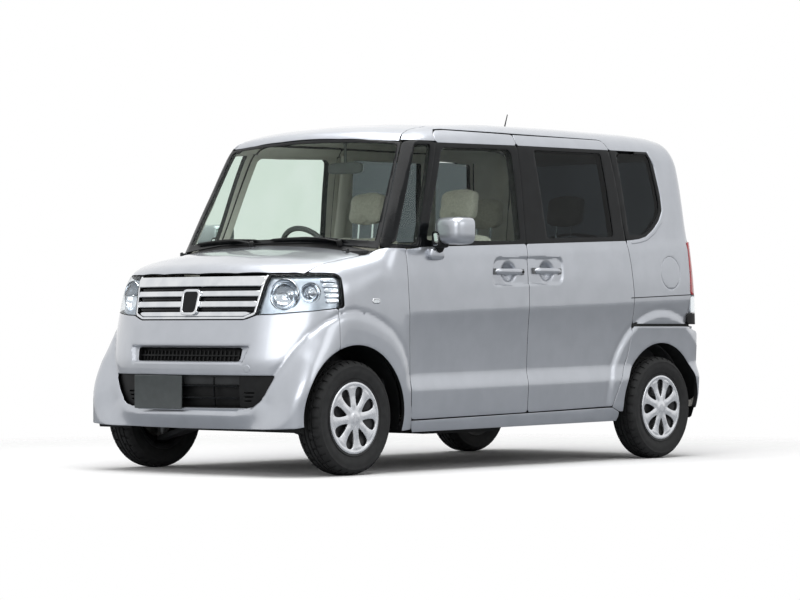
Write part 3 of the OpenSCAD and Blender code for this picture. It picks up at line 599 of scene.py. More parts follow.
def node(tree, kind, settings=(), inputs=(), links=()):
    """Adds a node with its settings, input values and links."""
    n = tree.nodes.new("ShaderNode" + kind)
    for k, v in dict(settings).items():
        setattr(n, k, v)
    for k, v in dict(inputs).items():
        n.inputs[k].default_value = v
    for k, v in dict(links).items():
        tree.links.new(v, n.inputs[k])
    return n


def new_material(name, base, roughness, metallic=0.0, **more):
    """A material with one shader, its values set on the shader itself."""
    m = bpy.data.materials.new(name)
    m.use_nodes = True
    tree = m.node_tree
    tree.nodes.clear()
    s = node(tree, "BsdfPrincipled", inputs={"Base Color": colour(base), "Roughness": roughness,
                                             "Metallic": metallic})
    for k, v in more.items():
        s.inputs[k.replace("_", " ")].default_value = v
    node(tree, "OutputMaterial", links={"Surface": s.outputs[0]})
    return m, tree, s


def vary(tree, s, low, high, scale, contrast=(0.35, 0.65), detail=3.0, stretch=(1, 1, 1)):
    """Slow noise between two colours on the shader's base."""
    place = node(tree, "TexCoord")
    spread = node(tree, "Mapping", inputs={"Scale": stretch}, links={"Vector": place.outputs["Object"]})
    noise = node(tree, "TexNoise", inputs={"Scale": scale, "Detail": detail},
                 links={"Vector": spread.outputs[0]})
    band = node(tree, "ValToRGB", links={"Fac": noise.outputs["Fac"]})
    band.color_ramp.elements[0].position, band.color_ramp.elements[1].position = contrast
    band.color_ramp.elements[0].color, band.color_ramp.elements[1].color = colour(low), colour(high)
    tree.links.new(band.outputs[0], s.inputs["Base Color"])


def grain(tree, s, scale, strength, depth=0.1 * MM, kind="TexNoise"):
    """A fine bump for the surface's texture."""
    place = node(tree, "TexCoord").outputs["Object"]
    texture = node(tree, kind, inputs={"Scale": scale}, links={"Vector": place})
    value = texture.outputs["Fac" if kind == "TexNoise" else "Distance"]
    bump = node(tree, "Bump", inputs={"Strength": strength, "Distance": depth}, links={"Height": value})
    tree.links.new(bump.outputs[0], s.inputs["Normal"])


def surface_of(tree):
    """The socket that a material's finished shader goes into."""
    return next(n for n in tree.nodes if n.type == "OUTPUT_MATERIAL").inputs["Surface"]


# Silver metallic paint, sprayed in two coats: aluminium flakes under a hard clear lacquer. Flakes are about 0.05 mm,
# drawn at 2 mm so that their sparkle shows as a soft mottle.
silver_paint, tree, s = new_material("silver_metallic_paint", "#b0b4bb", 0.33, 0.8, Coat_Weight=1.0,
                                     Coat_Roughness=0.03)
vary(tree, s, "#aeb2b9", "#b3b7be", 9.0)
grain(tree, s, 520.0, 0.06, 0.05 * MM)
# Glossy black film and ceramic frit round the glass: polished, nearly flat.
black_film, tree, s = new_material("black_window_film", "#0e1012", 0.16, 0.0, Specular_IOR_Level=0.17)
vary(tree, s, "#0c0e10", "#121416", 14.0)
# Moulded black polypropylene: fine leather grain, satin.
black_plastic, tree, s = new_material("moulded_black_polypropylene", "#0f1011", 0.5, 0.0,
                                      Specular_IOR_Level=0.25)
vary(tree, s, "#0d0e0f", "#141516", 30.0)
grain(tree, s, 900.0, 0.25, 0.15 * MM)
# Moulded cabin plastic: fine-grained light warm grey.
cabin_plastic, tree, s = new_material("moulded_cabin_plastic", "#d8d6d0", 0.6)
vary(tree, s, "#d4d2cc", "#dcdad4", 12.0)
grain(tree, s, 800.0, 0.25, 0.15 * MM)
# Chromium plate over ABS: mirror-bright with a faint orange peel.
chrome, tree, s = new_material("chromium_plate", "#d9dcdf", 0.09, 1.0)
vary(tree, s, "#d3d6da", "#e2e4e6", 12.0)
grain(tree, s, 60.0, 0.03, 0.1 * MM)

def see_through(tree, s, tint):
    """Lets lamp light pass a clear pane without bending, tinted as it goes."""
    ray = node(tree, "LightPath").outputs
    clear = node(tree, "BsdfTransparent", inputs={"Color": colour(tint)})
    flags = {0: ray["Is Shadow Ray"], 1: ray["Is Diffuse Ray"]}
    passing = node(tree, "Math", {"operation": "MAXIMUM"}, links=flags)
    mix = node(tree, "MixShader", links={0: passing.outputs[0], 1: s.outputs[0], 2: clear.outputs[0]})
    tree.links.new(mix.outputs[0], surface_of(tree))


# Laminated safety glass with a light green tint.
clear_glass, tree, s = new_material("tinted_safety_glass", "#e6efe9", 0.0, 0.0, Transmission_Weight=1.0,
                                    IOR=1.12)
vary(tree, s, "#e4eee7", "#e9f1ec", 3.0)
see_through(tree, s, "#fafdfb")
# Privacy glass, dyed dark grey in the melt.
dark_glass, tree, s = new_material("privacy_glass", "#565c5f", 0.0, 0.0, Transmission_Weight=1.0, IOR=1.18)
vary(tree, s, "#53595c", "#5a6063", 3.0)
see_through(tree, s, "#b0b5b7")

# ---------- Floor, backdrop and light

floor_bm = bmesh.new()
bmesh.ops.create_grid(floor_bm, x_segments=2, y_segments=2, size=60)
floor_material, tree, s = new_material("pale_studio_floor", "#f2f2f2", 0.9)
glints = node(tree, "LightPath").outputs["Is Glossy Ray"]
# Polished surfaces see a grey ground, as outdoors, so that the body's lower parts read darker than its upper ones
tone = node(tree, "MixRGB", inputs={1: colour("#f2f2f2"), 2: colour("#85888c")}, links={0: glints})
tree.links.new(tone.outputs[0], s.inputs["Base Color"])
# The floor fades into the background away from the car
middle = node(tree, "TexCoord").outputs["Object"]
reach = node(tree, "VectorMath", {"operation": "LENGTH"}, links={0: middle}).outputs["Value"]
fade = node(tree, "MapRange", {"interpolation_type": "SMOOTHSTEP"}, {"From Min": 2.4, "From Max": 4.6},
            {"Value": reach})
away = node(tree, "Math", {"operation": "SUBTRACT", "use_clamp": True}, links={0: fade.outputs[0], 1: glints})
clear = node(tree, "BsdfTransparent")
blend = node(tree, "MixShader", links={0: away.outputs[0], 1: s.outputs[0], 2: clear.outputs[0]})
tree.links.new(blend.outputs[0], surface_of(tree))
floor = to_object(floor_bm, "studio_floor", floor_material)

world = bpy.data.worlds.new("studio")
bpy.context.scene.world = world
world.use_nodes = True
tree = world.node_tree
tree.nodes.clear()
ray = node(tree, "LightPath").outputs
lit = node(tree, "Background", inputs={"Color": colour("#ffffff"), "Strength": 0.45})
seen = node(tree, "Background", inputs={"Color": colour("#ffffff"), "Strength": 1.0})
bent = node(tree, "Math", {"operation": "MAXIMUM"}, links={0: ray["Is Glossy Ray"],
                                                           1: ray["Is Transmission Ray"]})
shown = node(tree, "Math", {"operation": "MAXIMUM"}, links={0: ray["Is Camera Ray"], 1: bent.outputs[0]})
pick = node(tree, "MixShader", links={0: shown.outputs[0], 1: lit.outputs[0], 2: seen.outputs[0]})
node(tree, "OutputWorld", links={"Surface": pick.outputs[0]})


def softbox(name, place, target, size, power):
    """A large soft lamp."""
    lamp = bpy.data.lights.new(name, "AREA")
    lamp.shape, lamp.size, lamp.size_y, lamp.energy = "RECTANGLE", size[0], size[1], power
    aim(bpy.data.objects.new(name, lamp), place, target)


softbox("overhead_softbox", (0.5, -0.8, 6.0), (0, 0, 0.8), (6, 7), 440)
softbox("front_softbox", (2.5, -8.0, 3.4), (0, -1, 0.8), (5, 3), 130)
softbox("side_softbox", (8.0, 1.0, 3.6), (0, 0, 0.8), (6, 2.5), 70)


# ---------- Outlines shared by the panels, as (y, z) on the side

def belt(y):
    """Height of the windows' lower line."""
    return 1.1135 + 0.0405 * (y + 0.7525)


def band_top(y):
    """Height of the windows' upper line."""
    return float(np.interp(y, [-0.76, -0.54, 0.107, 0.89, 1.26], [1.640, 1.650, 1.664, 1.676, 1.682]))


DOOR_TOP = 1.722
front_door_edge = [(-0.8105, 0.259), (-0.822, 0.45), (-0.8385, 0.70), (-0.852, 0.92), (-0.8595, 1.104)]
front_door = front_door_edge + [(-0.7525, 1.113), (-0.5435, 1.647), (-0.530, 1.695), (-0.490, 1.7165),
                                (-0.42, DOOR_TOP), (B_SEAM_Y, DOOR_TOP), (B_SEAM_Y, 0.275)]
slide_rear_edge = [(0.855, 1.730), (0.885, 1.722), (0.905, 1.69), (0.948, 1.43), (0.9815, 1.186), (1.006, 1.04),
                   (1.0235, 0.889), (1.022, 0.80), (1.0095, 0.69), (0.968, 0.56), (0.90, 0.43), (0.850, 0.335),
                   (0.828, 0.292)]
slide_door = [(B_SEAM_Y, 0.275), (B_SEAM_Y, DOOR_TOP)] + slide_rear_edge


def black_band(front, rear):
    """The window band between two places along the car."""
    ys = np.linspace(front, rear, 24)
    return [(y, belt(y)) for y in ys] + [(y, band_top(y)) for y in ys[::-1]]


# The rear quarter's window band, from the foot of its front edge round the back to its top
quarter_back = [(1.02, 1.188), (1.10, 1.196), (1.17, 1.212), (1.24, 1.25), (1.305, 1.305), (1.338, 1.36),
                (1.332, 1.44), (1.300, 1.60), (1.283, 1.682)]
quarter_hole = [(0.80, belt(0.80))] + quarter_back + [(0.80, 1.675)]
quarter_band = [(0.9405, 1.43), (0.985, belt(0.985) + 0.002)] + quarter_back + [(0.895, 1.676), (0.912, 1.66)]
front_glass = rounded([(-0.690, 1.150), (-0.506, 1.626), (0.053, 1.642), (0.068, 1.162)], [0.02, 0.03, 0.05,
                                                                                           0.03])
slide_glass = rounded([(0.2905, 1.181), (0.2435, 1.646), (0.8265, 1.656), (0.8765, 1.203)], 0.02)
quarter_glass = rounded([(1.015, 1.215), (0.965, 1.662), (1.262, 1.668), (1.318, 1.37), (1.285, 1.315),
                         (1.165, 1.222)], [0.01, 0.02, 0.02, 0.05, 0.05, 0.06])
fixed_front_glass = rounded([(-0.985, 1.125), (-0.925, 1.14), (-0.700, 1.635), (-0.585, 1.640), (-0.768, 1.135),
                             (-0.80, 1.125)], 0.012)


def panel(name, *args, replaces=(), slot="silver_paint", **more):
    """A body panel and the plain nodes it stands for; slot is not used."""
    o = skin(name, *args, **more)
    if replaces:
        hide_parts(*replaces)
    return o


def film_frame(name, outline, glass, ride, side, rays=SIDE, **more):
    """The glossy black frame round a pane, a little under the painted skin."""
    panel(name, rays, outline, black_film, ride, [on_side(fine(glass))], side=side, offset=-1.5 * MM, **more)


def pane(name, glass, material, ride, side, rays=SIDE, **more):
    """A side window's glass, set into its frame."""
    panel(name, rays, on_side(fine(glass)), material, ride, cell=0.03, depth=4 * MM, offset=-5 * MM, side=side,
          gap=0.4 * MM, roll=0, **more)


def handle_patch(front, rear):
    """The part of a door, in flat coordinates, that is meshed twice as fine for its handle's dish."""
    start = SIDE.quarter - SIDE.y0
    return (start + front, 0.90), (start + rear, 1.11)


for side, at in SIDES:
    # Front door: silver skin under and over the band, black frame, pane
    rides = f"{at}_front_door"
    panel(f"{at}_front_door_skin", SIDE, on_side(fine(front_door)), silver_paint, rides,
          [on_side(fine(black_band(-0.95, 0.20)))], 0.014, 50 * MM, side=side, refine=handle_patch(-0.25, 0.12),
          replaces=[f"{at}_front_door"])
    frame_low = [(-0.752, 1.1155)] + [(y, belt(y) + 0.001) for y in (-0.5, -0.2, B_SEAM_Y)]
    frame_top = [(B_SEAM_Y, band_top(B_SEAM_Y)), (-0.2, band_top(-0.2)), (-0.542, 1.649)]
    film_frame(f"{at}_front_door_frame", on_side(fine(frame_low + frame_top)), front_glass, rides, side,
               cell=0.014, depth=40 * MM, gap=0.6 * MM, slot=None)
    pane(f"{at}_front_pane", front_glass, clear_glass, rides, side, slot="clear_glass",
         replaces=[f"{at}_front_window"])
    # Sliding door; both stand for one plain node, and so do all the side panes
    panel(f"{at}_sliding_door_skin", SIDE, on_side(fine(slide_door)), silver_paint, "body",
          [on_side(fine(black_band(0.0, 1.20)))], 0.014, 50 * MM, side=side, refine=handle_patch(0.10, 0.45),
          replaces=["sliding_doors"] if side > 0 else ())
    frame_out = [(B_SEAM_Y, belt(B_SEAM_Y)), (B_SEAM_Y, band_top(B_SEAM_Y)), (0.5, band_top(0.5)),
                 (0.908, band_top(0.9)), (0.948, 1.43), (0.981, belt(0.981)), (0.5, belt(0.5))]
    film_frame(f"{at}_sliding_door_frame", on_side(fine(frame_out)), slide_glass, "body", side,
               cell=0.014, depth=40 * MM, slot=None)
    pane(f"{at}_sliding_pane", slide_glass, dark_glass, "body", side, slot="dark_glass",
         replaces=["side_windows"] if side > 0 else ())


# ---------- Fixed body panels

def both_halves(left):
    """An outline that runs from the middle out to the left, closed on the right."""
    return list(left) + [(-x, y, z) for x, y, z in reversed(left)]


def arch_line(y, first, last, radius=ARCH_R, count=28):
    """Places along a wheel arch, as (y, z), between two angles in degrees from straight back."""
    turns = np.radians(np.linspace(first, last, count))
    return [(y + radius * math.cos(t), AXLE_Z + radius * math.sin(t)) for t in turns]


bonnet_lip = on_end([(0.0, 0.9765), (0.25, 0.9765), (0.44, 0.9765), (0.52, 0.9775), (0.573, 0.9785)], -1)
bonnet_front = [(x, y) for x, y, z in bonnet_lip]
bonnet_side = [(0.597, -1.467), (0.612, -1.43), (0.622, -1.37), (0.636, -1.20), (0.645, -1.104)]
bonnet_half = [(x, y, 1.0) for x, y in bonnet_front + bonnet_side]
# Bonnet; its black sides are painted shade in the shut gaps round it
panel("bonnet_skin", LID, fine(both_halves(bonnet_half)), silver_paint, "bonnet", cell=0.018, depth=11 * MM,
      lining=(black_plastic, silver_paint), replaces=["bonnet"])

# Front fenders, between the bonnet, the door, the wheel arch, the bumper and the lamp
fender_top = on_top(LID, fine(bonnet_front[-1:] + bonnet_side + [(0.652, -1.055), (0.656, -1.025)], False))
fender_back = on_side(fine([(-0.985, 1.1065), (-0.8595, 1.1085)] + front_door_edge[::-1] +
                           [(-0.800, 0.212), (-0.902, 0.205)], False))
fender_arch = on_side(arch_line(FRONT_Y, -12, 110.4))
bumper_seam = on_side(fine([(-1.360, 0.61), (-1.360, 0.806)], False))
lamp_edge = on_side([(-1.322, 0.812), (-1.319, 0.962), (-1.342, 0.977)]) + on_end([(0.66, 0.980),
                                                                                   (0.62, 0.980)], -1)
for side, at in SIDES:
    panel(f"{at}_front_fender", LOW, fender_top + fender_back + fender_arch + bumper_seam + lamp_edge,
          silver_paint, "body", cell=0.014, depth=20 * MM, side=side, gap=GAP * 0.7, replaces=["front_fenders"]
          if side > 0 else ())

# Front bumper with its lower intake and its upper slot
lamp_low_line = [(0.722, -1.3405, 0.809), (0.66, -1.45, 0.794), (0.60, -1.5215, 0.787), (0.50, -1.585, 0.778),
                 (0.42, -1.6185, 0.775)]
intake_half = on_end(fine([(0.0, 0.487), (0.542, 0.487), (0.535, 0.462), (0.497, 0.395), (0.470, 0.358),
                           (0.438, 0.336), (0.395, 0.326), (0.0, 0.324)], False), -1)
slot_shape = rounded([(-0.358, 0.618), (0.358, 0.618), (0.352, 0.553), (-0.352, 0.553)], 0.012)
bumper_arch = on_side(arch_line(FRONT_Y, 110.4, 186))
bumper_top = [(0.0, -1.65, 0.752), (0.347, -1.6165, 0.752), (0.372, -1.6165, 0.758), (0.412, -1.615, 0.772)]
bumper_foot = [(0.70, -1.63, 0.2345), (0.60, -1.64, 0.2305), (0.50, -1.65, 0.2275), (0.25, -1.66, 0.224),
               (0.0, -1.665, 0.223)]
bumper_half = bumper_top + fine(lamp_low_line[::-1], False) + bumper_seam[::-1] + bumper_arch + bumper_foot
panel("front_bumper_skin", LOW, both_halves(bumper_half), silver_paint, "body",
      [both_halves(intake_half), on_end(fine(slot_shape), -1)], cell=0.009, depth=24 * MM, gap=GAP * 0.7,
      replaces=["front_bumper"])

# Sills
sill = [(-0.800, 0.212), (-0.8105, 0.2545), (0.107, 0.2725), (0.828, 0.287), (0.90, 0.262), (0.90, 0.212),
        (0.5, 0.208), (-0.79, 0.196)]
for side, at in SIDES:
    panel(f"{at}_sill", SIDE, on_side(fine(sill)), silver_paint, "body", cell=0.02, depth=50 * MM, side=side,
          gap=GAP * 0.8)

# Roof between its two ditches
roof_front = [(0.0, -0.780), (0.20, -0.777), (0.40, -0.765), (0.50, -0.752), (0.570, -0.738)]
roof_side = [(0.552, -0.690), (0.535, -0.630), (0.525, -0.55), (0.522, -0.40), (0.522, 1.405)]
roof_half = [(x, y, 1.7) for x, y in roof_front + roof_side + [(0.0, 1.412)]]
panel("roof_skin", TOP, fine(both_halves(roof_half)), silver_paint, "body", cell=0.02, depth=14 * MM,
      gap=GAP * 0.8, replaces=["roof_panel"])

# Each side's roof rail and rear quarter in one panel, from the windscreen's top to the rear lamp
LAMP_SIDE_Y = 1.546
LID_CENTRE = (REAR_Y + 0.082, 1.017)
ditch = on_top(TOP, [(0.578, -0.737)]) + on_top(TOP, fine(roof_side, False, 0.06))
gate_edge = [(0.5665, 1.55, 1.742), (0.5665, 1.59, 1.66), (0.5665, 1.60, 1.50), (0.585, 1.61, 1.40),
             (0.6135, 1.63, 1.25), (0.6135, 1.64, 1.1925)]
lamp_gap = on_side([(LAMP_SIDE_Y, 1.1925), (LAMP_SIDE_Y, 0.7935)]) + [(0.6135, 1.66, 0.7935),
                                                                      (0.6135, 1.67, 0.7345)]
quarter_edge = [(0.9405, 1.43), (0.9815, 1.186), (1.006, 1.04), (1.0235, 0.889), (1.022, 0.80), (1.015, 0.7345)]
rail_low = [(-0.742, 1.652), (-0.5405, 1.6555), (-0.5405, 1.647), (-0.526, 1.695), (-0.488, 1.7205),
            (-0.42, DOOR_TOP + 0.004), (B_SEAM_Y, DOOR_TOP + 0.004)]
under_rail = on_side(fine([(1.50, 0.7345)] + quarter_edge[::-1] + slide_rear_edge[3::-1] + rail_low[::-1],
                          False))
pillar = [(0.672, -1.008, 1.1125), (0.594, -0.744, 1.646)]
pillar += on_side(fine([(-0.5425, 1.6505), (-0.7525, 1.117), (-0.87, 1.111), (-0.985, 1.1085)], False))
for side, at in SIDES:
    holes = [on_side(fine(quarter_hole))]
    if side > 0:
        holes.append(on_side(ring_of(LID_CENTRE, 0.0915, 48)))
    panel(f"{at}_quarter_and_rail", HIGH, ditch + gate_edge + lamp_gap + under_rail, silver_paint, "body",
          holes, cell=0.016, depth=40 * MM, side=side, replaces=[f"{at}_body_side"])
    film_frame(f"{at}_quarter_frame", on_side(fine(quarter_band)), quarter_glass, "body", side, cell=0.016,
               depth=30 * MM, gap=GAP * 0.8, slot="black_plastic")
    pane(f"{at}_quarter_pane", quarter_glass, dark_glass, "body", side, slot="dark_glass")
    # First pillar with its fixed quarter window
    film_frame(f"{at}_front_pillar", fine(pillar), fixed_front_glass, "body", side, HIGH, cell=0.012,
               depth=30 * MM, gap=0.8 * MM, slot="black_plastic")
    pane(f"{at}_fixed_front_pane", fixed_front_glass, clear_glass, "body", side, HIGH, slot="clear_glass")

# Windscreen with its black printed border
screen_half = [(0.0, -1.06, 1.140), (0.35, -1.05, 1.137), (0.55, -1.03, 1.117), (0.670, -1.008, 1.1055),
               (0.588, -0.7465, 1.648), (0.45, -0.77, 1.664), (0.25, -0.79, 1.672), (0.0, -0.79, 1.675)]
clear_half = [(0.0, -1.05, 1.160), (0.35, -1.04, 1.157), (0.55, -1.02, 1.149), (0.640, -1.0, 1.141),
              (0.577, -0.76, 1.630), (0.560, -0.765, 1.643), (0.45, -0.78, 1.651), (0.25, -0.8, 1.659),
              (0.0, -0.8, 1.662)]
clear_part = fine(both_halves(clear_half))
panel("windscreen_border", HIGH, fine(both_halves(screen_half)), black_film, "body", [clear_part], cell=0.007,
      depth=6 * MM, offset=-1.0 * MM, gap=0.2 * MM, slot="black_plastic")
panel("windscreen_glass", HIGH, clear_part, clear_glass, "body", cell=0.03, depth=5 * MM, offset=-1.6 * MM,
      gap=-1.0 * MM, roll=0, replaces=["windscreen"], slot="clear_glass")
# Cowl cover between the bonnet and the windscreen
cowl = [(0.0, -1.099), (0.645, -1.099), (0.652, -1.028), (0.55, -1.040), (0.35, -1.058), (0.0, -1.068)]
panel("cowl_cover", Down(0.95), fine(both_halves([(x, y, 1.1) for x, y in cowl])), black_plastic, "body",
      cell=0.012, depth=8 * MM, offset=-6 * MM, gap=0.8 * MM, slot="black_plastic")

# Fuel lid; its black sides are painted shade in the gap round it
panel("fuel_lid_skin", SIDE, on_side(ring_of(LID_CENTRE, 0.0885, 48)), silver_paint, "fuel_lid", cell=0.012,
      depth=2.5 * MM, gap=0.5 * MM, lining=(black_plastic, silver_paint), replaces=["fuel_lid"])

# Rear bumper with the wheel arches
rear_arch = on_side(arch_line(REAR_Y, 181, -2))
bumper_side = on_side(fine([(1.50, 0.7235), (1.016, 0.7235)] + slide_rear_edge[9:] +
                           [(0.828, 0.287), (0.90, 0.262), (0.93, 0.262)], False))
rear_half = [(0.0, 1.69, 0.7105), (0.6135, 1.68, 0.7105), (0.6135, 1.68, 0.7235)] + bumper_side + rear_arch
rear_half += on_side([(1.62, 0.268)]) + [(0.45, 1.66, 0.262), (0.0, 1.66, 0.262)]
panel("rear_bumper_skin", BACK_LOW, both_halves(rear_half), silver_paint, "body", cell=0.014, depth=24 * MM,
      replaces=["rear_bumper"])

# Tailgate with its glass
gate_half = on_top(TOP, [(0.0, 1.424), (0.26, 1.424), (0.518, 1.424)])
gate_half += [(0.5625, 1.55, 1.742), (0.5625, 1.59, 1.66), (0.5625, 1.60, 1.50), (0.581, 1.61, 1.40),
              (0.6095, 1.63, 1.25), (0.6095, 1.64, 1.1925), (0.6095, 1.66, 0.7235), (0.0, 1.69, 0.7235)]
gate_glass = on_end(fine(rounded([(-0.545, 1.185), (-0.500, 1.655), (0.500, 1.655), (0.545, 1.185)], 0.05)), 1)
panel("tailgate_skin", GATE, both_halves(gate_half), silver_paint, "tailgate", [gate_glass], cell=0.016,
      depth=34 * MM, replaces=["tailgate"])
panel("tailgate_pane", GATE, gate_glass, dark_glass, "tailgate", cell=0.03, depth=4 * MM, offset=-2 * MM,
      gap=0.5 * MM, roll=0, replaces=["tailgate_window"], slot="dark_glass")

# Wheel-arch liners: bent sheets from inside each wheel to just behind the skin
LINER_R = ARCH_R + 8 * MM
for y, end, inner_x in ((FRONT_Y, "front", 0.462), (REAR_Y, "rear", 0.585)):
    for side, at in SIDES:
        bm = bmesh.new()
        bmesh.ops.create_grid(bm, x_segments=6, y_segments=40, size=0.5)
        for v in bm.verts:
            turn = math.radians(-14 + 208 * (v.co.y + 0.5))
            arch = (0.7, y + ARCH_R * math.cos(turn), AXLE_Z + ARCH_R * math.sin(turn))
            outer_x = land(SIDE, SIDE.flat([arch]), True)[0][0] - 26 * MM
            x = inner_x + (outer_x - inner_x) * (v.co.x + 0.5)
            v.co = (side * x, y + LINER_R * math.cos(turn), max(AXLE_Z + LINER_R * math.sin(turn), 0.215))
        bmesh.ops.recalc_face_normals(bm, faces=bm.faces)
        bmesh.ops.solidify(bm, geom=bm.faces, thickness=2.5 * MM)
        to_object(bm, f"{at}_{end}_arch_liner", black_plastic, ride="body")


# ---------- Front: grille, lamps, intakes, plate

def level(points):
    """The same outline on both halves, for pairs of (x, z)."""
    return [(x, z) for x, z in points] + [(-x, z) for x, z in reversed(points)]


def oblong(x0, x1, z0, z1):
    """A flat four-sided outline between two places and two levels."""
    return [(x0, z1), (x1, z1), (x1, z0), (x0, z0)]


def front_skin(name, outline, material, holes=(), slot="black_plastic", plain=True, **more):
    """A panel on the car's nose from an outline in (x, z)."""
    cuts = [on_end(fine(h, step=0.01), -1) for h in holes]
    return panel(name, LOW, on_end(fine(outline, step=0.02), -1), material, "body", cuts, slot=slot,
                 plain=plain, **more)


front_skin("grille_backing", level([(0.442, 0.976), (0.414, 0.784), (0.350, 0.754)]), black_plastic, cell=0.02,
           depth=6 * MM, offset=-34 * MM, gap=0.0)
grille_edge = [(0.440, 0.9705), (0.4395, 0.963), (0.412, 0.785), (0.402, 0.7745), (0.350, 0.7565)]
# The frame's opening runs out at the top, which leaves a U
frame_hole = [(0.431, 0.99), (0.403, 0.788), (0.347, 0.7665)]
front_skin("grille_frame", level(grille_edge), chrome, [level(frame_hole)], cell=0.0045, depth=30 * MM,
           offset=0.5 * MM, gap=2 * MM, roll=2 * MM, hole_gap=1 * MM, slot="bright_trim", replaces=["grille"])
# Four bright bars from the top down, as (low, high, how far out in mm, half length), with dark steps under three
GRILLE_BARS = ((0.914, 0.966, 6, 0.4285), (0.8655, 0.8975, 1, 0.420), (0.8145, 0.8465, 1, 0.4125),
               (0.7685, 0.7945, 1, 0.384))
for k, (low, high, out, half) in enumerate(GRILLE_BARS):
    lowest = k == len(GRILLE_BARS) - 1
    slant = 0.14 * (high - low)
    ends = [(0.4035, high), (0.353, low)] if lowest else [(half + 2 * slant, high), (half, low)]
    front_skin(f"grille_bar_{k + 1}", level(ends), chrome, cell=(0.02, 0.0045), depth=22 * MM,
               offset=(out - 3) * MM, gap=5 * MM, roll=4.2 * MM, slot="bright_trim")
    if not lowest:
        front_skin(f"grille_step_{k + 1}", level([(half, low - 0.0005), (half - 0.012, low - 0.0125)]),
                   black_film, cell=(0.03, 0.0045), depth=8 * MM, offset=-16 * MM, gap=0.0)
# Blank badge
badge = rounded([(-0.062, 0.901), (0.062, 0.901), (0.055, 0.775), (-0.055, 0.775)], 0.030)
badge_hole = rounded([(-0.051, 0.890), (0.051, 0.890), (0.045, 0.786), (-0.045, 0.786)], 0.023)
front_skin("badge_rim", badge, chrome, [badge_hole], cell=0.004, depth=16 * MM, offset=10 * MM, gap=1.5 * MM,
           roll=2.5 * MM, hole_gap=0.5 * MM, slot="bright_trim")
front_skin("badge_face", badge_hole, black_film, cell=0.008, depth=8 * MM, offset=5 * MM, gap=-1 * MM, roll=0)

# Upper slot: a dark backing with upright ribs and one bar
front_skin("slot_backing", oblong(-0.37, 0.37, 0.543, 0.628), black_plastic, cell=0.03, depth=5 * MM,
           offset=-48 * MM, gap=0)
for k, x in enumerate(np.arange(-0.33, 0.34, 0.0275)):
    front_skin(f"slot_rib_{k + 1}", oblong(x - 0.0025, x + 0.0025, 0.549, 0.622), black_plastic,
               cell=(0.0022, 0.02), depth=8 * MM, offset=-38 * MM, gap=0, roll=0.6 * MM)
front_skin("slot_bar", oblong(-0.358, 0.358, 0.583, 0.589), black_plastic, cell=(0.03, 0.0026), depth=10 * MM,
           offset=-34 * MM, gap=0, roll=0.6 * MM)
# Lower intake: a dark backing, slotted side cheeks, two bars and two posts
front_skin("intake_backing", level([(0.548, 0.49), (0.50, 0.39), (0.44, 0.332), (0.39, 0.322)]), black_plastic,
           cell=0.03, depth=5 * MM, offset=-52 * MM, gap=0)
cheek = [(0.546, 0.489), (0.352, 0.489), (0.352, 0.322), (0.395, 0.323), (0.438, 0.333), (0.470, 0.355),
         (0.499, 0.393), (0.538, 0.462)]
cheek_slots = [[(0.375, z), (0.430 + w, z), (0.426 + w, z - 0.010), (0.375, z - 0.010)]
               for z, w in ((0.405, 0.010), (0.385, 0.002), (0.365, -0.008))]
for side, at in SIDES:
    face, *slots = [[(x * side, z) for x, z in shape] for shape in (cheek, *cheek_slots)]
    front_skin(f"intake_cheek_{at}", face, black_plastic, slots, cell=(0.010, 0.0045), depth=10 * MM,
               offset=-17 * MM, gap=0, roll=1 * MM)
for k, z in enumerate((0.434, 0.373)):
    front_skin(f"intake_bar_{k + 1}", oblong(-0.356, 0.356, z - 0.003, z + 0.003), black_film,
               cell=(0.03, 0.0026), depth=14 * MM, offset=-20 * MM, gap=0, roll=0.8 * MM)
for k, x in enumerate((-0.30, 0.185)):
    front_skin(f"intake_post_{k + 1}", oblong(x - 0.002, x + 0.002, 0.323, 0.489), black_film,
               cell=(0.0018, 0.03), depth=10 * MM, offset=-28 * MM, gap=0, roll=0.8 * MM)
front_skin("tow_eye_cover", ring_of((0.404, 0.518), 0.019, 32), silver_paint, cell=0.006, depth=5 * MM,
           offset=1.2 * MM, gap=1.5 * MM, roll=1.2 * MM, slot="silver_paint", plain=False)


# ---------- Small shapes

def block(low, high, radius, segments=2):
    """A box with rounded edges, from corner to corner."""
    bm = bmesh.new()
    bmesh.ops.create_cube(bm, size=1)
    bmesh.ops.scale(bm, vec=Vector(high) - Vector(low), verts=bm.verts)
    bmesh.ops.translate(bm, vec=(Vector(high) + Vector(low)) / 2, verts=bm.verts)
    bmesh.ops.bevel(bm, geom=list(bm.edges), offset=radius, offset_type="OFFSET", affect="EDGES",
                    segments=segments, profile=0.5, material=-1)
    return bm


def spun(profile, steps=48):
    """A round shape from its profile of (radius, along), about +Z."""
    bm = bmesh.new()
    verts = [bm.verts.new((r, 0, z)) for r, z in profile]
    edges = [bm.edges.new(pair) for pair in zip(verts, verts[1:])]
    bmesh.ops.spin(bm, geom=verts + edges, cent=(0, 0, 0), axis=(0, 0, 1), angle=2 * HALF_TURN, steps=steps,
                   use_merge=True)
    bmesh.ops.remove_doubles(bm, verts=bm.verts, dist=0.05 * MM)
    bmesh.ops.recalc_face_normals(bm, faces=bm.faces)
    return bm


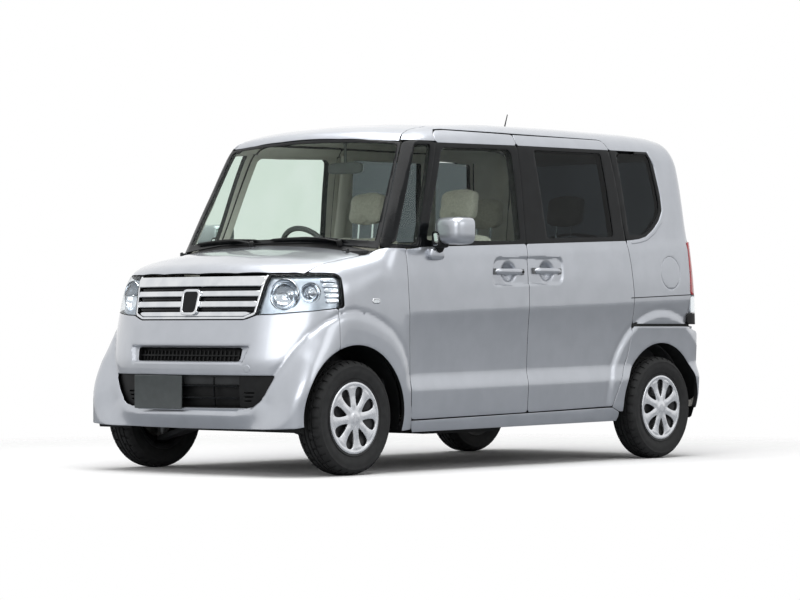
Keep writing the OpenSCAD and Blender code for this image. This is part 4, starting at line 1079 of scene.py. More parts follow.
def rod(points, radii, sides=14, squash=(1.0, 1.0), up=(0, 0, 1)):
    """A bar through the given places, closed where its radius falls to nothing."""
    p = np.array(points, float)
    radii = np.array(radii, float) * np.ones(len(p))
    bm = bmesh.new()
    bmesh.ops.create_grid(bm, x_segments=len(p) - 1, y_segments=sides, size=0.5)
    along = np.gradient(p, axis=0)
    along /= np.linalg.norm(along, axis=1)[:, None]
    for v in bm.verts:
        i = int(round((v.co.x + 0.5) * (len(p) - 1)))
        t = (v.co.y + 0.5) * 2 * HALF_TURN
        side = np.cross(along[i], up)
        side /= max(np.linalg.norm(side), 1e-9)
        over = np.cross(side, along[i])
        v.co = p[i] + radii[i] * (side * math.cos(t) * squash[0] + over * math.sin(t) * squash[1])
    bmesh.ops.remove_doubles(bm, verts=bm.verts, dist=0.1 * MM)
    bmesh.ops.recalc_face_normals(bm, faces=bm.faces)
    return bm


def soft_block(low, high, power=4.0, cuts=7):
    """A box swollen into a smooth rounded form."""
    bm = bmesh.new()
    bmesh.ops.create_cube(bm, size=2)
    bmesh.ops.subdivide_edges(bm, edges=bm.edges, cuts=cuts, use_grid_fill=True)
    half, middle = (Vector(high) - Vector(low)) / 2, (Vector(high) + Vector(low)) / 2
    for v in bm.verts:
        c = v.co
        size = (abs(c.x) ** power + abs(c.y) ** power + abs(c.z) ** power) ** (1 / power)
        v.co = middle + Vector((c.x / size * half.x, c.y / size * half.y, c.z / size * half.z))
    return bm


def bar(outline, x0, x1, edge=0.004):
    """A closed outline in (y, z) drawn out from x0 to x1, its corners and ends rounded."""
    bm = bmesh.new()
    ring = [bm.verts.new((x0, y, z)) for y, z in outline]
    first = bm.faces.new(ring)
    made = bmesh.ops.extrude_face_region(bm, geom=[first])["geom"]
    bmesh.ops.translate(bm, vec=(x1 - x0, 0, 0), verts=[g for g in made if isinstance(g, bmesh.types.BMVert)])
    bmesh.ops.recalc_face_normals(bm, faces=bm.faces)
    if edge:
        sharp = [e for e in bm.edges if e.calc_face_angle(0) > 0.6]
        bmesh.ops.bevel(bm, geom=sharp, offset=edge, offset_type="OFFSET", affect="EDGES", segments=3,
                        profile=0.5, material=-1)
    return bm


def join(*parts):
    """Several shapes as one mesh."""
    whole = bmesh.new()
    for bm in parts:
        mesh = bpy.data.meshes.new("part")
        bm.to_mesh(mesh)
        bm.free()
        whole.from_mesh(mesh)
        bpy.data.meshes.remove(mesh)
    return whole


def stand(bm, place, direction):
    """Turns a round shape's axis to a direction and moves it to its place."""
    turn = Vector(direction).to_track_quat("Z", "Y").to_matrix().to_4x4()
    bmesh.ops.transform(bm, matrix=Matrix.Translation(place) @ turn, verts=bm.verts)
    return bm


def mirrored(bm, side):
    """A shape modelled on the left, moved over for the right."""
    if side < 0:
        flip(bm)
    return bm


def piece(bm, name, material, ride, sharp=35, replaces=()):
    """Makes an object of a shape and the plain nodes it stands for."""
    o = to_object(bm, name, material, sharp, ride)
    if replaces:
        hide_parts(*replaces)
    return o


# Blank plate, enamelled steel in satin grey, its middle pressed in
plate_grey, tree, s = new_material("satin_grey_plate_enamel", "#3a3f40", 0.5)
vary(tree, s, "#383d3e", "#3e4344", 20.0)
plate_low, plate_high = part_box("front_plate")
plate = block(plate_low, (plate_high.x, plate_low.y + 8 * MM, plate_high.z), 4 * MM)
face = min(plate.faces, key=lambda f: f.calc_center_median().y)
bmesh.ops.inset_region(plate, faces=[face], thickness=5 * MM, depth=-1.0 * MM)
piece(plate, "front_plate_blank", plate_grey, "body", replaces=["front_plate"])


# ---------- Head lamps

# Polycarbonate lens, optically clear and hard-coated.
clear_lens, tree, s = new_material("clear_polycarbonate_lens", "#f4f7f8", 0.0, 0.0, Transmission_Weight=1.0,
                                   IOR=1.10)
vary(tree, s, "#f1f5f7", "#f7f9fa", 4.0)
see_through(tree, s, "#f4f7f8")
# Vacuum-metallised reflector: bright aluminium with shallow facets.
reflector, tree, s = new_material("metallised_reflector", "#dfe3e8", 0.10, 1.0)
vary(tree, s, "#d2d7de", "#eceff2", 22.0)
grain(tree, s, 75.0, 0.35, 1.2 * MM, "TexVoronoi")
# Satin grey-blue bezel inside the lamp, metallised over a fine grain.
bezel, tree, s = new_material("satin_lamp_bezel", "#b3bac3", 0.28, 0.85)
vary(tree, s, "#a7aeb8", "#c3c9d0", 16.0)
grain(tree, s, 300.0, 0.1, 0.2 * MM)

# The lamp's outline: along the bonnet, down the fender, back under it along the bumper and up the grille
lamp_top = on_end([(0.4435, 0.973), (0.52, 0.974), (0.573, 0.975), (0.62, 0.976), (0.66, 0.976)], -1)
lamp_top += on_side([(-1.345, 0.973), (-1.322, 0.960)])
lamp_out = fine(lamp_top + [(0.7205, -1.330, 0.825)] + lamp_low_line[:-1] +
                [(0.413, -1.620, 0.775), (0.429, -1.594, 0.872)])
# Main and side bowls, as (middle in (x, z), radius, facing)
BOWLS = (((0.534, 0.878), 0.074, (0.24, -0.97, 0.02)), ((0.645, 0.886), 0.047, (0.46, -0.88, 0.02)))
bowl_places = [Vector(v) for v in on_end([middle for middle, r, way in BOWLS], -1)]


def bowl_opening(place, r, way):
    """The round opening in the bezel in front of a bowl."""
    across = Vector((-way[1], way[0], 0)).normalized()
    turns = np.linspace(0, 2 * HALF_TURN, 40, endpoint=False)
    r *= 1.02
    return [tuple(place + across * r * math.cos(t) + Vector((0, 0, r * math.sin(t)))) for t in turns]


def make_bowl(r, depth, steps=9):
    """A reflector bowl with a rolled lip."""
    turns = [k / steps * HALF_TURN / 2 for k in range(steps + 1)]
    cup = [(r * math.sin(t), -depth * math.cos(t) ** 1.3) for t in turns]
    lip = [(r + 3 * MM, 1.5 * MM), (r + 5 * MM, -2 * MM), (r + 5 * MM, -6 * MM)]
    bm = spun([(1 * MM, cup[0][1])] + cup[1:] + lip)
    bmesh.ops.solidify(bm, geom=bm.faces, thickness=1.5 * MM)
    return bm


BULB = [(0.0005, 0.030), (0.005, 0.029), (0.0085, 0.024), (0.0085, 0.004), (0.013, 0.002), (0.014, -0.012),
        (0.022, -0.016), (0.022, -0.030)]
openings = [bowl_opening(place, r, way) for (middle, r, way), place in zip(BOWLS, bowl_places)]
for side, at in SIDES:
    panel(f"{at}_lamp_lens", LOW, lamp_out, clear_lens, "body", cell=0.014, depth=2.5 * MM, offset=0.5 * MM,
          side=side, gap=2.6 * MM, roll=1.2 * MM, slot="lamp_lens", plain=True, replaces=["headlamps"]
          if side > 0 else ())
    panel(f"{at}_lamp_bezel", LOW, lamp_out, bezel, "body", openings, cell=0.009, depth=3 * MM, offset=-22 * MM,
          side=side, gap=-1 * MM, roll=1.0 * MM, slot="lamp_lens", plain=True)
    panel(f"{at}_lamp_surround", LOW, lamp_out, black_plastic, "body", [lamp_out], cell=4.4 * MM, depth=30 * MM,
          offset=-1.5 * MM, side=side, gap=-0.5 * MM, hole_gap=-4.5 * MM, roll=0, slot="black_plastic",
          plain=True)
    for k, ((middle, r, way), place) in enumerate(zip(BOWLS, bowl_places)):
        depth = 0.72 * r
        way = Vector(way).normalized()
        seat = place - Vector(facing_out(np.array([place]), True)[0]) * 20 * MM
        bowl = stand(make_bowl(r, depth), seat, way)
        piece(mirrored(bowl, side), f"{at}_lamp_bowl_{k + 1}", reflector, "body", 50)
        bulb = stand(spun(BULB, 28), seat - way * (depth - 22 * MM), way)
        piece(mirrored(bulb, side), f"{at}_lamp_bulb_{k + 1}", chrome, "body")
    # Ribs of the turn lamp at the outer end
    for k in range(5):
        z = 0.845 + 0.026 * k
        rib = on_side(oblong(-1.415, -1.345, z - 0.009, z + 0.009))
        panel(f"{at}_turn_lamp_rib_{k + 1}", LOW, fine(rib), reflector, "body", cell=(0.01, 0.006),
              depth=7 * MM, offset=-12 * MM, side=side, gap=2 * MM, roll=2.5 * MM, slot="bright_trim",
              plain=True)
    # Side repeater on the wing
    rim = rounded(oblong(-1.120, -1.066, 0.832, 0.857), 0.011)
    panel(f"{at}_repeater_base", LOW, on_side(fine(rim)), chrome, "body", cell=0.005, depth=5 * MM,
          offset=2.0 * MM, side=side, gap=1.0 * MM, roll=2 * MM, slot="bright_trim")
    inner = rounded(oblong(-1.113, -1.073, 0.837, 0.852), 0.007)
    panel(f"{at}_repeater_lens", LOW, on_side(fine(inner)), clear_lens, "body", cell=0.005, depth=4 * MM,
          offset=5.0 * MM, side=side, gap=0.5 * MM, roll=1.5 * MM, slot="lamp_lens")

# ---------- Wheels and tyres
# Vulcanised rubber with carbon black: dull, a little lighter where it is worn.
tyre_rubber, tree, s = new_material("vulcanised_rubber", "#101112", 0.78)
vary(tree, s, "#0e0f10", "#191a1b", 26.0)
grain(tree, s, 420.0, 0.35, 0.3 * MM)
# Wheel cover: moulded plastic with silver paint and clear lacquer.
cover_silver, tree, s = new_material("silver_painted_wheel_cover", "#d6d9dd", 0.26, 0.72, Coat_Weight=0.7,
                                     Coat_Roughness=0.06)
vary(tree, s, "#d2d5da", "#dcdee2", 30.0)
grain(tree, s, 700.0, 0.05, 0.05 * MM)
# Pressed steel wheel under it: black electrophoretic paint, satin.
wheel_steel, tree, s = new_material("black_dipped_steel", "#1b1c1e", 0.5, 0.1)
vary(tree, s, "#17181a", "#232426", 25.0)
grain(tree, s, 500.0, 0.12, 0.1 * MM)
# Turned cast iron of the brake disc.
cast_iron, tree, s = new_material("turned_cast_iron", "#6e6c69", 0.42, 0.9)
vary(tree, s, "#5f5d5a", "#7b7975", 40.0)
grain(tree, s, 900.0, 0.2, 0.1 * MM)

# Half of the tyre's section from the bead to the middle of the tread, as (radius, along)
tyre_half = [(0.177, 0.0575), (0.182, 0.0640), (0.192, 0.0665), (0.1945, 0.0690), (0.200, 0.0700),
             (0.210, 0.0738), (0.222, 0.0768), (0.234, 0.0775), (0.244, 0.0762), (0.2475, 0.0772),
             (0.2505, 0.0772), (0.254, 0.0745), (0.262, 0.0695), (0.268, 0.0640), (0.2725, 0.0570),
             (0.2752, 0.0500), (0.2768, 0.0420), (0.2700, 0.0405), (0.2700, 0.0355), (0.2777, 0.0340),
             (0.2785, 0.0160), (0.2705, 0.0145), (0.2705, 0.0085), (0.2785, 0.0070), (0.2785, 0.0)]


TREAD_STEPS = 144
GROOVE_DEPTH = 5.5 * MM


def make_tyre():
    """The tyre, with grooves pressed across its shoulders and its middle bands."""
    bm = spun([(r, -z) for r, z in tyre_half] + [(r, z) for r, z in tyre_half[-2::-1]], TREAD_STEPS)
    grooves = []
    for f in bm.faces:
        c = f.calc_center_median()
        r = math.hypot(c.x, c.y)
        turn = int((math.atan2(c.y, c.x) / (2 * HALF_TURN) * TREAD_STEPS) % TREAD_STEPS) % 4
        shoulder = abs(c.z) > 0.0425 and r > 0.262 and turn == (0 if c.z > 0 else 2)
        middle = 0.0165 < abs(c.z) < 0.0335 and r > 0.276 and turn == (1 if c.z > 0 else 3)
        if shoulder or middle:
            grooves.append(f)
    made = bmesh.ops.extrude_face_region(bm, geom=grooves)["geom"]
    for v in [g for g in made if isinstance(g, bmesh.types.BMVert)]:
        r = math.hypot(v.co.x, v.co.y)
        v.co.x *= (r - GROOVE_DEPTH) / r
        v.co.y *= (r - GROOVE_DEPTH) / r
    bmesh.ops.delete(bm, geom=grooves, context="FACES")
    return bm


def cover_height(r, turn):
    """The wheel cover's face: a hub, eight crowned spokes that dip and rise again to the rim."""
    base = np.interp(r, [0, 0.024, 0.030, 0.045, 0.075, 0.105, 0.140, 0.158, 0.166, 0.174], [0.0760, 0.0755,
                                                                                             0.0725, 0.0715,
                                                                                             0.0685, 0.0668,
                                                                                             0.0675, 0.0695,
                                                                                             0.0722, 0.0700])
    ridge = (0.5 + 0.5 * np.cos(8 * turn)) * 3.2 * MM * ramp((r - 0.035) / 0.04) * ramp((0.163 - r) / 0.02)
    return base + ridge


def make_cover():
    """The wheel cover: a disc with eight openings between its spokes."""
    gap_half = [(0.058, 0.0035), (0.076, 0.0125), (0.098, 0.0215), (0.120, 0.0270), (0.138, 0.0275),
                (0.149, 0.0215), (0.1545, 0.0110), (0.1560, 0.0)]
    hole = fine(gap_half + [(r, -w) for r, w in gap_half[-2::-1]], step=0.006)
    holes = []
    for k in range(8):
        a = (k + 0.5) * HALF_TURN / 4
        holes.append([(r * math.cos(a) - w * math.sin(a), r * math.sin(a) + w * math.cos(a)) for r, w in hole])

    def distance(q):
        d = np.hypot(q[:, 0], q[:, 1]) - 0.1735
        for h in holes:
            d = np.maximum(d, -inside(q, h))
        return d

    bm = sheet([(-0.175, -0.175), (0.175, 0.175)], 0.0052, distance)
    q = np.array([v.co[:2] for v in bm.verts])
    z = cover_height(np.hypot(q[:, 0], q[:, 1]), np.arctan2(q[:, 1], q[:, 0]))
    for v, h in zip(bm.verts, z):
        v.co.z = h
    bmesh.ops.remove_doubles(bm, verts=bm.verts, dist=0.3 * MM)
    bmesh.ops.recalc_face_normals(bm, faces=bm.faces)
    bm.normal_update()
    if bm.faces[:][0].normal.z < 0:
        bmesh.ops.reverse_faces(bm, faces=bm.faces)
    shell(bm, 9 * MM, 1.4 * MM)
    return bm


def make_rim():
    """The pressed steel wheel behind the cover."""
    return spun([(0.030, 0.030), (0.050, 0.036), (0.100, 0.030), (0.128, 0.044), (0.150, 0.046), (0.158, 0.030),
                 (0.160, -0.055), (0.170, -0.064), (0.184, -0.068), (0.186, -0.063), (0.1765, -0.0575),
                 (0.168, -0.050), (0.166, 0.040), (0.1765, 0.0575), (0.186, 0.0640), (0.184, 0.0690),
                 (0.174, 0.0660), (0.164, 0.052), (0.150, 0.052), (0.126, 0.050), (0.100, 0.036),
                 (0.050, 0.042), (0.030, 0.036), (0.030, 0.030)], 72)


def make_disc():
    """The brake disc with its hat."""
    return spun([(0.030, 0.006), (0.060, 0.006), (0.062, -0.010), (0.118, -0.010), (0.118, -0.020),
                 (0.030, -0.020), (0.030, 0.006)], 64)


WHEEL_PARTS = ((make_tyre, "tyre", tyre_rubber, "tyre_rubber"),
               (make_cover, "wheel_cover", cover_silver, "wheel_cover"),
               (make_rim, "steel_wheel", wheel_steel, "bare_steel"),
               (make_disc, "brake_disc", cast_iron, "cast_metal"))
# The plain nodes that two of the parts stand for, by the end of their names
WHEEL_NODES = {"tyre": "tyre", "steel_wheel": "wheel"}
for end, y, turned in (("front", FRONT_Y, 0.13), ("rear", REAR_Y, 0.43)):
    for side, at in SIDES:
        facing = Matrix.Rotation(side * HALF_TURN / 2, 4, "Y") @ Matrix.Rotation(turned, 4, "Z")
        where = Matrix.Translation((side * WHEEL_X, y, AXLE_Z)) @ facing
        for make, what, material, slot_name in WHEEL_PARTS:
            bm = make()
            bmesh.ops.transform(bm, matrix=where, verts=bm.verts)
            stands = [f"{at}_{end}_{WHEEL_NODES[what]}"] if what in WHEEL_NODES else ()
            piece(bm, f"{at}_{end}_{what}_piece", material, f"{at}_{end}_wheel", 30, stands)


# ---------- Door handles, mirrors

# Silvered mirror glass.
mirror_glass, tree, s = new_material("silvered_mirror_glass", "#e3e7ea", 0.02, 1.0)
vary(tree, s, "#e1e5e8", "#e6e9ec", 3.0)
# Dark lower dashboard and floor-side trims, same plastic in charcoal.
dark_cabin, tree, s = new_material("charcoal_cabin_plastic", "#5a5c5e", 0.62)
vary(tree, s, "#565859", "#606264", 12.0)
grain(tree, s, 800.0, 0.25, 0.15 * MM)
# Needled headliner felt.
felt, tree, s = new_material("needled_headliner_felt", "#e2e0da", 0.95, 0.0, Sheen_Weight=0.3)
vary(tree, s, "#dddbd5", "#e7e5df", 60.0)
grain(tree, s, 1500.0, 0.4, 0.2 * MM)
# Tufted floor carpet: loops about 2 mm, drawn at 4 mm.
carpet, tree, s = new_material("tufted_floor_carpet", "#4b4a48", 0.97, 0.0, Sheen_Weight=0.3)
vary(tree, s, "#403f3d", "#555350", 120.0)
grain(tree, s, 250.0, 0.8, 1.0 * MM, "TexVoronoi")
# Red acrylic of the tail lamps over its reflector.
red_lens, tree, s = new_material("red_acrylic_lens", "#b01420", 0.08, 0.0, Transmission_Weight=0.25,
                                 Coat_Weight=1.0, Coat_Roughness=0.02, IOR=1.35)
vary(tree, s, "#a5101b", "#bb1825", 18.0)
grain(tree, s, 130.0, 0.3, 0.8 * MM, "TexVoronoi")


def cut_off(bm, y, way):
    """Cuts away what lies beyond a plane across the car at y, on the side that way points to."""
    everything = list(bm.verts) + list(bm.edges) + list(bm.faces)
    bmesh.ops.bisect_plane(bm, geom=everything, plane_co=(0, y, 0), plane_no=(0, way, 0), clear_outer=True)


# The handles, as (door, front end, rear end, height, half thickness along it)
HANDLES = (("front", -0.178, 0.062, 1.0025, (0.0001, 0.010, 0.0145, 0.0165, 0.011, 0.0001)),
           ("sliding", 0.146, 0.378, 1.0105, (0.0001, 0.008, 0.0155, 0.0145, 0.010, 0.0001)))
for side, at in SIDES:
    for which, y0, y1, z, thick in HANDLES:
        rides = f"{at}_front_door" if which == "front" else "body"
        t = np.linspace(0, 1, 17)
        lift = np.interp(t, [0, 0.07, 0.14, 0.86, 0.93, 1], [-0.004, 0.006, 0.0115, 0.0115, 0.006, -0.004])
        base = np.array(on_side([(y, z) for y in y0 + (y1 - y0) * t]))
        places = base + facing_out(base, True) * lift[:, None]
        grip = rod(places, np.interp(t, [0, 0.04, 0.12, 0.80, 0.94, 1], thick), 16, (0.62, 1.0))
        piece(mirrored(grip, side), f"{at}_{which}_door_handle", silver_paint, rides)
        # Dark blocks under the handle's two ends: painted shadow of the handle in its finger bowl
        for k, (ya, yb) in enumerate(((y0 + 0.002, y0 + 0.012), (y1 - 0.012, y1 - 0.002))):
            c = np.mean(on_side([(ya, z), (yb, z)]), axis=0)
            foot = block(c - np.array([0.010, 0.009, 0.016]), c + np.array([0.004, 0.009, 0.016]), 3 * MM)
            piece(mirrored(foot, side), f"{at}_{which}_handle_foot_{k + 1}", dark_cabin, rides)
        if which == "front":
            lock = spun([(0.0002, 0.001), (0.0035, 0.001), (0.0055, 0.0022), (0.0075, 0.0015), (0.008, -0.006)],
                        24)
            stand(lock, Vector(on_side([(0.036, z)])[0]) + Vector((0.0205, 0, 0)), (1, 0, 0))
            piece(mirrored(lock, side), f"{at}_door_lock", black_plastic, rides)

    rides = f"{at}_front_door"
    head = soft_block((0.745, -0.690, 1.130), (0.9225, -0.480, 1.2660), 4.6, 9)
    cut_off(head, -0.565, 1)
    bmesh.ops.holes_fill(head, edges=[e for e in head.edges if e.is_boundary])
    back_face = max(head.faces, key=lambda f: f.calc_center_median().y)
    bmesh.ops.inset_region(head, faces=[back_face], thickness=5 * MM, depth=0)
    bmesh.ops.inset_region(head, faces=[back_face], thickness=1 * MM, depth=-6 * MM)
    piece(mirrored(head, side), f"{at}_mirror_cap", silver_paint, rides, 45,
          [f"{at}_door_mirror"])
    glass = soft_block((0.753, -0.683, 1.138), (0.9145, -0.487, 1.2580), 4.6, 9)
    cut_off(glass, -0.5675, 1)
    cut_off(glass, -0.5715, -1)
    bmesh.ops.holes_fill(glass, edges=[e for e in glass.edges if e.is_boundary])
    bmesh.ops.recalc_face_normals(glass, faces=glass.faces)
    piece(mirrored(glass, side), f"{at}_mirror_glass", mirror_glass, rides)
    # Black lower corner with its small convex assist mirror, and the arm down to the foot
    corner = soft_block((0.741, -0.6915, 1.112), (0.800, -0.612, 1.197), 6, 7)
    piece(mirrored(corner, side), f"{at}_mirror_corner", black_plastic, rides)
    assist = soft_block((0.7495, -0.6922, 1.121), (0.791, -0.680, 1.187), 4, 7)
    piece(mirrored(assist, side), f"{at}_assist_mirror", mirror_glass, rides)
    arm = rod([(0.775, -0.645, 1.150), (0.768, -0.644, 1.125), (0.757, -0.643, 1.108), (0.742, -0.642, 1.104),
               (0.722, -0.642, 1.104)], [0.0001, 0.022, 0.022, 0.020, 0.0001], 18, (1.0, 1.0), (0, 1, 0))
    piece(mirrored(arm, side), f"{at}_mirror_arm", black_plastic, rides)
    foot = soft_block((0.700, -0.694, 1.0525), (0.7575, -0.592, 1.112), 4, 7)
    piece(mirrored(foot, side), f"{at}_mirror_foot", silver_paint, rides)


# ---------- Rear lamps and the dark corner blocks

def rear_corner(z_top, z_low, y_side=LAMP_SIDE_Y):
    """Outline round the car's rear corner between two levels."""
    rear = land(BACK_LOW, BACK_LOW.flat([(0.6125, 1.66, z_top), (0.6125, 1.66, z_low)]), True)
    return fine(on_side([(y_side, z_top)]) + [tuple(v) for v in rear] + on_side([(y_side, z_low)]))


for side, at in SIDES:
    panel(f"{at}_tail_lens", BACK_LOW, rear_corner(1.1905, 0.900), red_lens, "body", cell=0.014, depth=14 * MM,
          offset=2.5 * MM, side=side, gap=1.6 * MM, roll=3 * MM, slot="tail_lens", plain=True,
          replaces=["tail_lamps"] if side > 0 else ())
    panel(f"{at}_reverse_lens", BACK_LOW, rear_corner(0.897, 0.799), clear_lens, "body", cell=0.014,
          depth=5 * MM, offset=2.5 * MM, side=side, gap=1.6 * MM, roll=2.5 * MM, slot="lamp_lens", plain=True)
    panel(f"{at}_tail_housing", BACK_LOW, rear_corner(1.191, 0.797), bezel, "body", cell=0.02, depth=6 * MM,
          offset=-14 * MM, side=side, gap=0.0, roll=1.5 * MM, slot="bright_trim", plain=True)
    panel(f"{at}_rear_corner_block", BACK_LOW, rear_corner(0.795, 0.7345, 1.512), black_plastic, "body",
          cell=0.012, depth=16 * MM, offset=2.5 * MM, side=side, gap=1.2 * MM, roll=2 * MM,
          slot="black_plastic", plain=True)
    # Black sheet behind the gap above the rear bumper: a real gap, its blackness partly painted shade
    gap_shade_outline = on_side(fine([(1.014, 0.7445), (1.545, 0.7445), (1.545, 0.712), (1.014, 0.712)]))
    panel(f"{at}_bumper_gap_shade", SIDE, gap_shade_outline, black_plastic, "body", cell=(0.03, 0.012), depth=8 * MM,
          offset=-9 * MM, side=side, gap=0.0, roll=0, slot="black_plastic", plain=True)
    # Bright strip round the rear window band
    strip_in = [(1.262, 1.682), (1.304, 1.600), (1.334, 1.440), (1.340, 1.360), (1.307, 1.303), (1.241, 1.247),
                (1.17, 1.209), (1.10, 1.193), (1.02, 1.185)]
    strip_out = [(1.03, 1.169), (1.10, 1.1765), (1.175, 1.1915), (1.251, 1.2305), (1.3215, 1.289),
                 (1.3595, 1.355), (1.3535, 1.443), (1.3235, 1.603), (1.286, 1.686)]
    panel(f"{at}_quarter_bright_strip", SIDE, on_side(fine(strip_in + strip_out)), silver_paint, "body",
          cell=0.0042, depth=8 * MM, offset=2.5 * MM, side=side, gap=3.2 * MM, roll=6 * MM)
    # Narrow black slot of the sliding door's rail
    rail_slot = [(0.994, 0.8735), (1.60, 0.8975), (1.60, 0.9020), (0.994, 0.8780)]
    panel(f"{at}_rail_slot", SIDE, on_side(fine(rail_slot)), black_plastic, "body", cell=(0.02, 0.0022),
          depth=3 * MM, offset=0.4 * MM, side=side, gap=0, roll=0.3 * MM)

# ---------- Wipers, antenna, inside mirror
for k, (x0, x1, pivot) in enumerate(((-0.585, -0.06, -0.10), (0.00, 0.50, 0.46))):
    t = np.linspace(0, 1, 15)
    xs = x0 + (x1 - x0) * t
    zs = 1.151 + 0.008 * np.sin(t * HALF_TURN) - 0.012 * abs(xs) / 0.6
    glass = land(HIGH, HIGH.flat([(x, -1.05, z) for x, z in zip(xs, zs)]), True)
    n = facing_out(glass, True)
    blade = rod(glass + n * 5 * MM, np.interp(t, [0, 0.03, 0.97, 1], [0.0001, 0.0045, 0.0045, 0.0001]), 8,
                (0.6, 1.2))
    fin = rod(glass + n * 10.5 * MM, np.interp(t, [0, 0.04, 0.5, 0.96, 1], [0.0001, 0.004, 0.0075, 0.004,
                                                                            0.0001]), 10, (0.6, 1.2))
    middle = glass[7] + n[7] * 0.016
    root = land(HIGH, HIGH.flat([(pivot, -1.08, 1.128)]), True)[0] + np.array([0, -0.006, 0.012])
    ts = np.linspace(0, 1, 9)[:, None]
    reach = root * (1 - ts) + middle * ts + np.array([0, -0.004, 0.006]) * np.sin(ts * HALF_TURN)
    arm = rod(reach, np.interp(ts[:, 0], [0, 0.05, 0.3, 0.95, 1], [0.0001, 0.011, 0.008, 0.005, 0.0001]), 10,
              (1.0, 0.6))
    boss = stand(spun([(0.0002, 0.012), (0.010, 0.011), (0.014, 0.006), (0.015, -0.02)], 24), Vector(root),
                 (0, -0.4, 0.9))
    piece(join(blade, fin, arm, boss), f"wiper_{k + 1}", black_plastic, "body", 50, ["wipers"]
          if k == 0 else ())
low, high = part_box("antenna")
base_y = low.y + 0.026
mast = rod([(0, base_y, high.z - 0.088), (0, base_y + 0.002, high.z - 0.080), (0, high.y - 0.006,
                                                                               high.z - 0.005),
            (0, high.y - 0.004, high.z - 0.001)], [0.004, 0.0042, 0.0026, 0.0001], 12, up=(1, 0, 0))
foot = soft_block((-0.017, low.y, low.z - 0.004), (0.017, low.y + 0.058, low.z + 0.020), 3, 6)
piece(join(mast, foot), "antenna_mast_and_foot", black_plastic, "body", 50, ["antenna"])
low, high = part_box("interior_mirror")
shell_part = soft_block((low.x, low.y, 1.512), (high.x, high.y - 0.004, 1.572), 4, 7)
stem = rod([(0, -0.503, 1.56), (0, -0.503, 1.62), (0, -0.505, 1.69), (0, -0.506, 1.715)], [0.008, 0.007, 0.010,
                                                                                           0.016], 12,
           up=(1, 0, 0))
piece(join(shell_part, stem), "inside_mirror_shell", dark_cabin, "body", 50,
      ["interior_mirror"])
piece(soft_block((low.x + 0.006, high.y - 0.006, 1.517), (high.x - 0.006, high.y - 0.0015, 1.567), 6, 6),
      "inside_mirror_glass", mirror_glass, "body")

# ---------- Cabin: dashboard, wheel, trims
dash = [(-0.905, 0.60), (-0.905, 1.060), (-0.860, 1.088), (-0.760, 1.096), (-0.640, 1.085), (-0.560, 1.050),
        (-0.520, 0.990), (-0.512, 0.940), (-0.535, 0.900), (-0.500, 0.860), (-0.498, 0.800), (-0.560, 0.700),
        (-0.640, 0.610), (-0.760, 0.575)]
piece(bar(dash, -0.610, 0.610, 0.012), "dashboard_upper", cabin_plastic, "body", 40,
      ["dashboard"])
piece(soft_block((-0.50, -0.66, 1.01), (-0.16, -0.47, 1.098), 3.5, 8), "instrument_hood", dark_cabin, "body")
piece(block((-0.13, -0.545, 0.72), (0.15, -0.490, 1.03), 0.02, segments=3), "centre_panel", dark_cabin, "body")
piece(block((-0.10, -0.492, 0.885), (0.12, -0.484, 1.005), 0.006), "audio_screen", black_film, "body")
KNOB = [(0.0002, 0.018), (0.016, 0.018), (0.019, 0.014), (0.020, 0.0), (0.026, -0.002), (0.026, -0.008)]
knobs = [stand(spun(KNOB, 28), (x, -0.492, 0.825), (0, 1, 0.05)) for x in (-0.07, 0.01, 0.09)]
piece(join(*knobs), "heater_knobs", cabin_plastic, "body")
vents = [block((x - 0.05, -0.530, z - 0.003), (x + 0.05, -0.505, z + 0.003), 1.2 * MM)
         for x in (-0.54, 0.21, 0.54) for z in (0.925, 0.942, 0.959, 0.976)]
piece(join(*vents), "vent_slats", dark_cabin, "body")
stalk = rod([(-0.05, -0.50, 0.79), (-0.055, -0.46, 0.80), (-0.06, -0.44, 0.825)], [0.008, 0.007, 0.0065], 10,
            up=(1, 0, 0))
knob = soft_block((-0.085, -0.455, 0.82), (-0.035, -0.42, 0.875), 3, 6)
piece(join(stalk, knob), "gear_lever", dark_cabin, "body")

wheel_low, wheel_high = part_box("steering_wheel")
tilt = math.radians(28)
rim_r, grip = 0.170, 0.0145
ring = spun([(rim_r + grip * math.cos(t), grip * math.sin(t)) for t in np.linspace(0, 2 * HALF_TURN, 17)], 64)
hub = soft_block((-0.075, -0.062, -0.026), (0.075, 0.062, 0.014), 3, 7)
spokes = [rod([(0.05 * x, 0.05 * y, -0.006), (0.11 * x, 0.11 * y, -0.004), (0.168 * x, 0.168 * y, 0.0)],
              [0.018, 0.014, 0.016], 12, (1.0, 0.45)) for x, y in ((1, 0.10), (-1, 0.10), (0.05, -1))]
wheel_x = (wheel_low.x + wheel_high.x) / 2
whole = stand(join(ring, hub, *spokes), (wheel_x, -0.430, 1.087), (0, math.cos(tilt), math.sin(tilt)))
piece(whole, "steering_wheel_rim_and_hub", dark_cabin, "steering_wheel", 50,
      ["steering_wheel"])

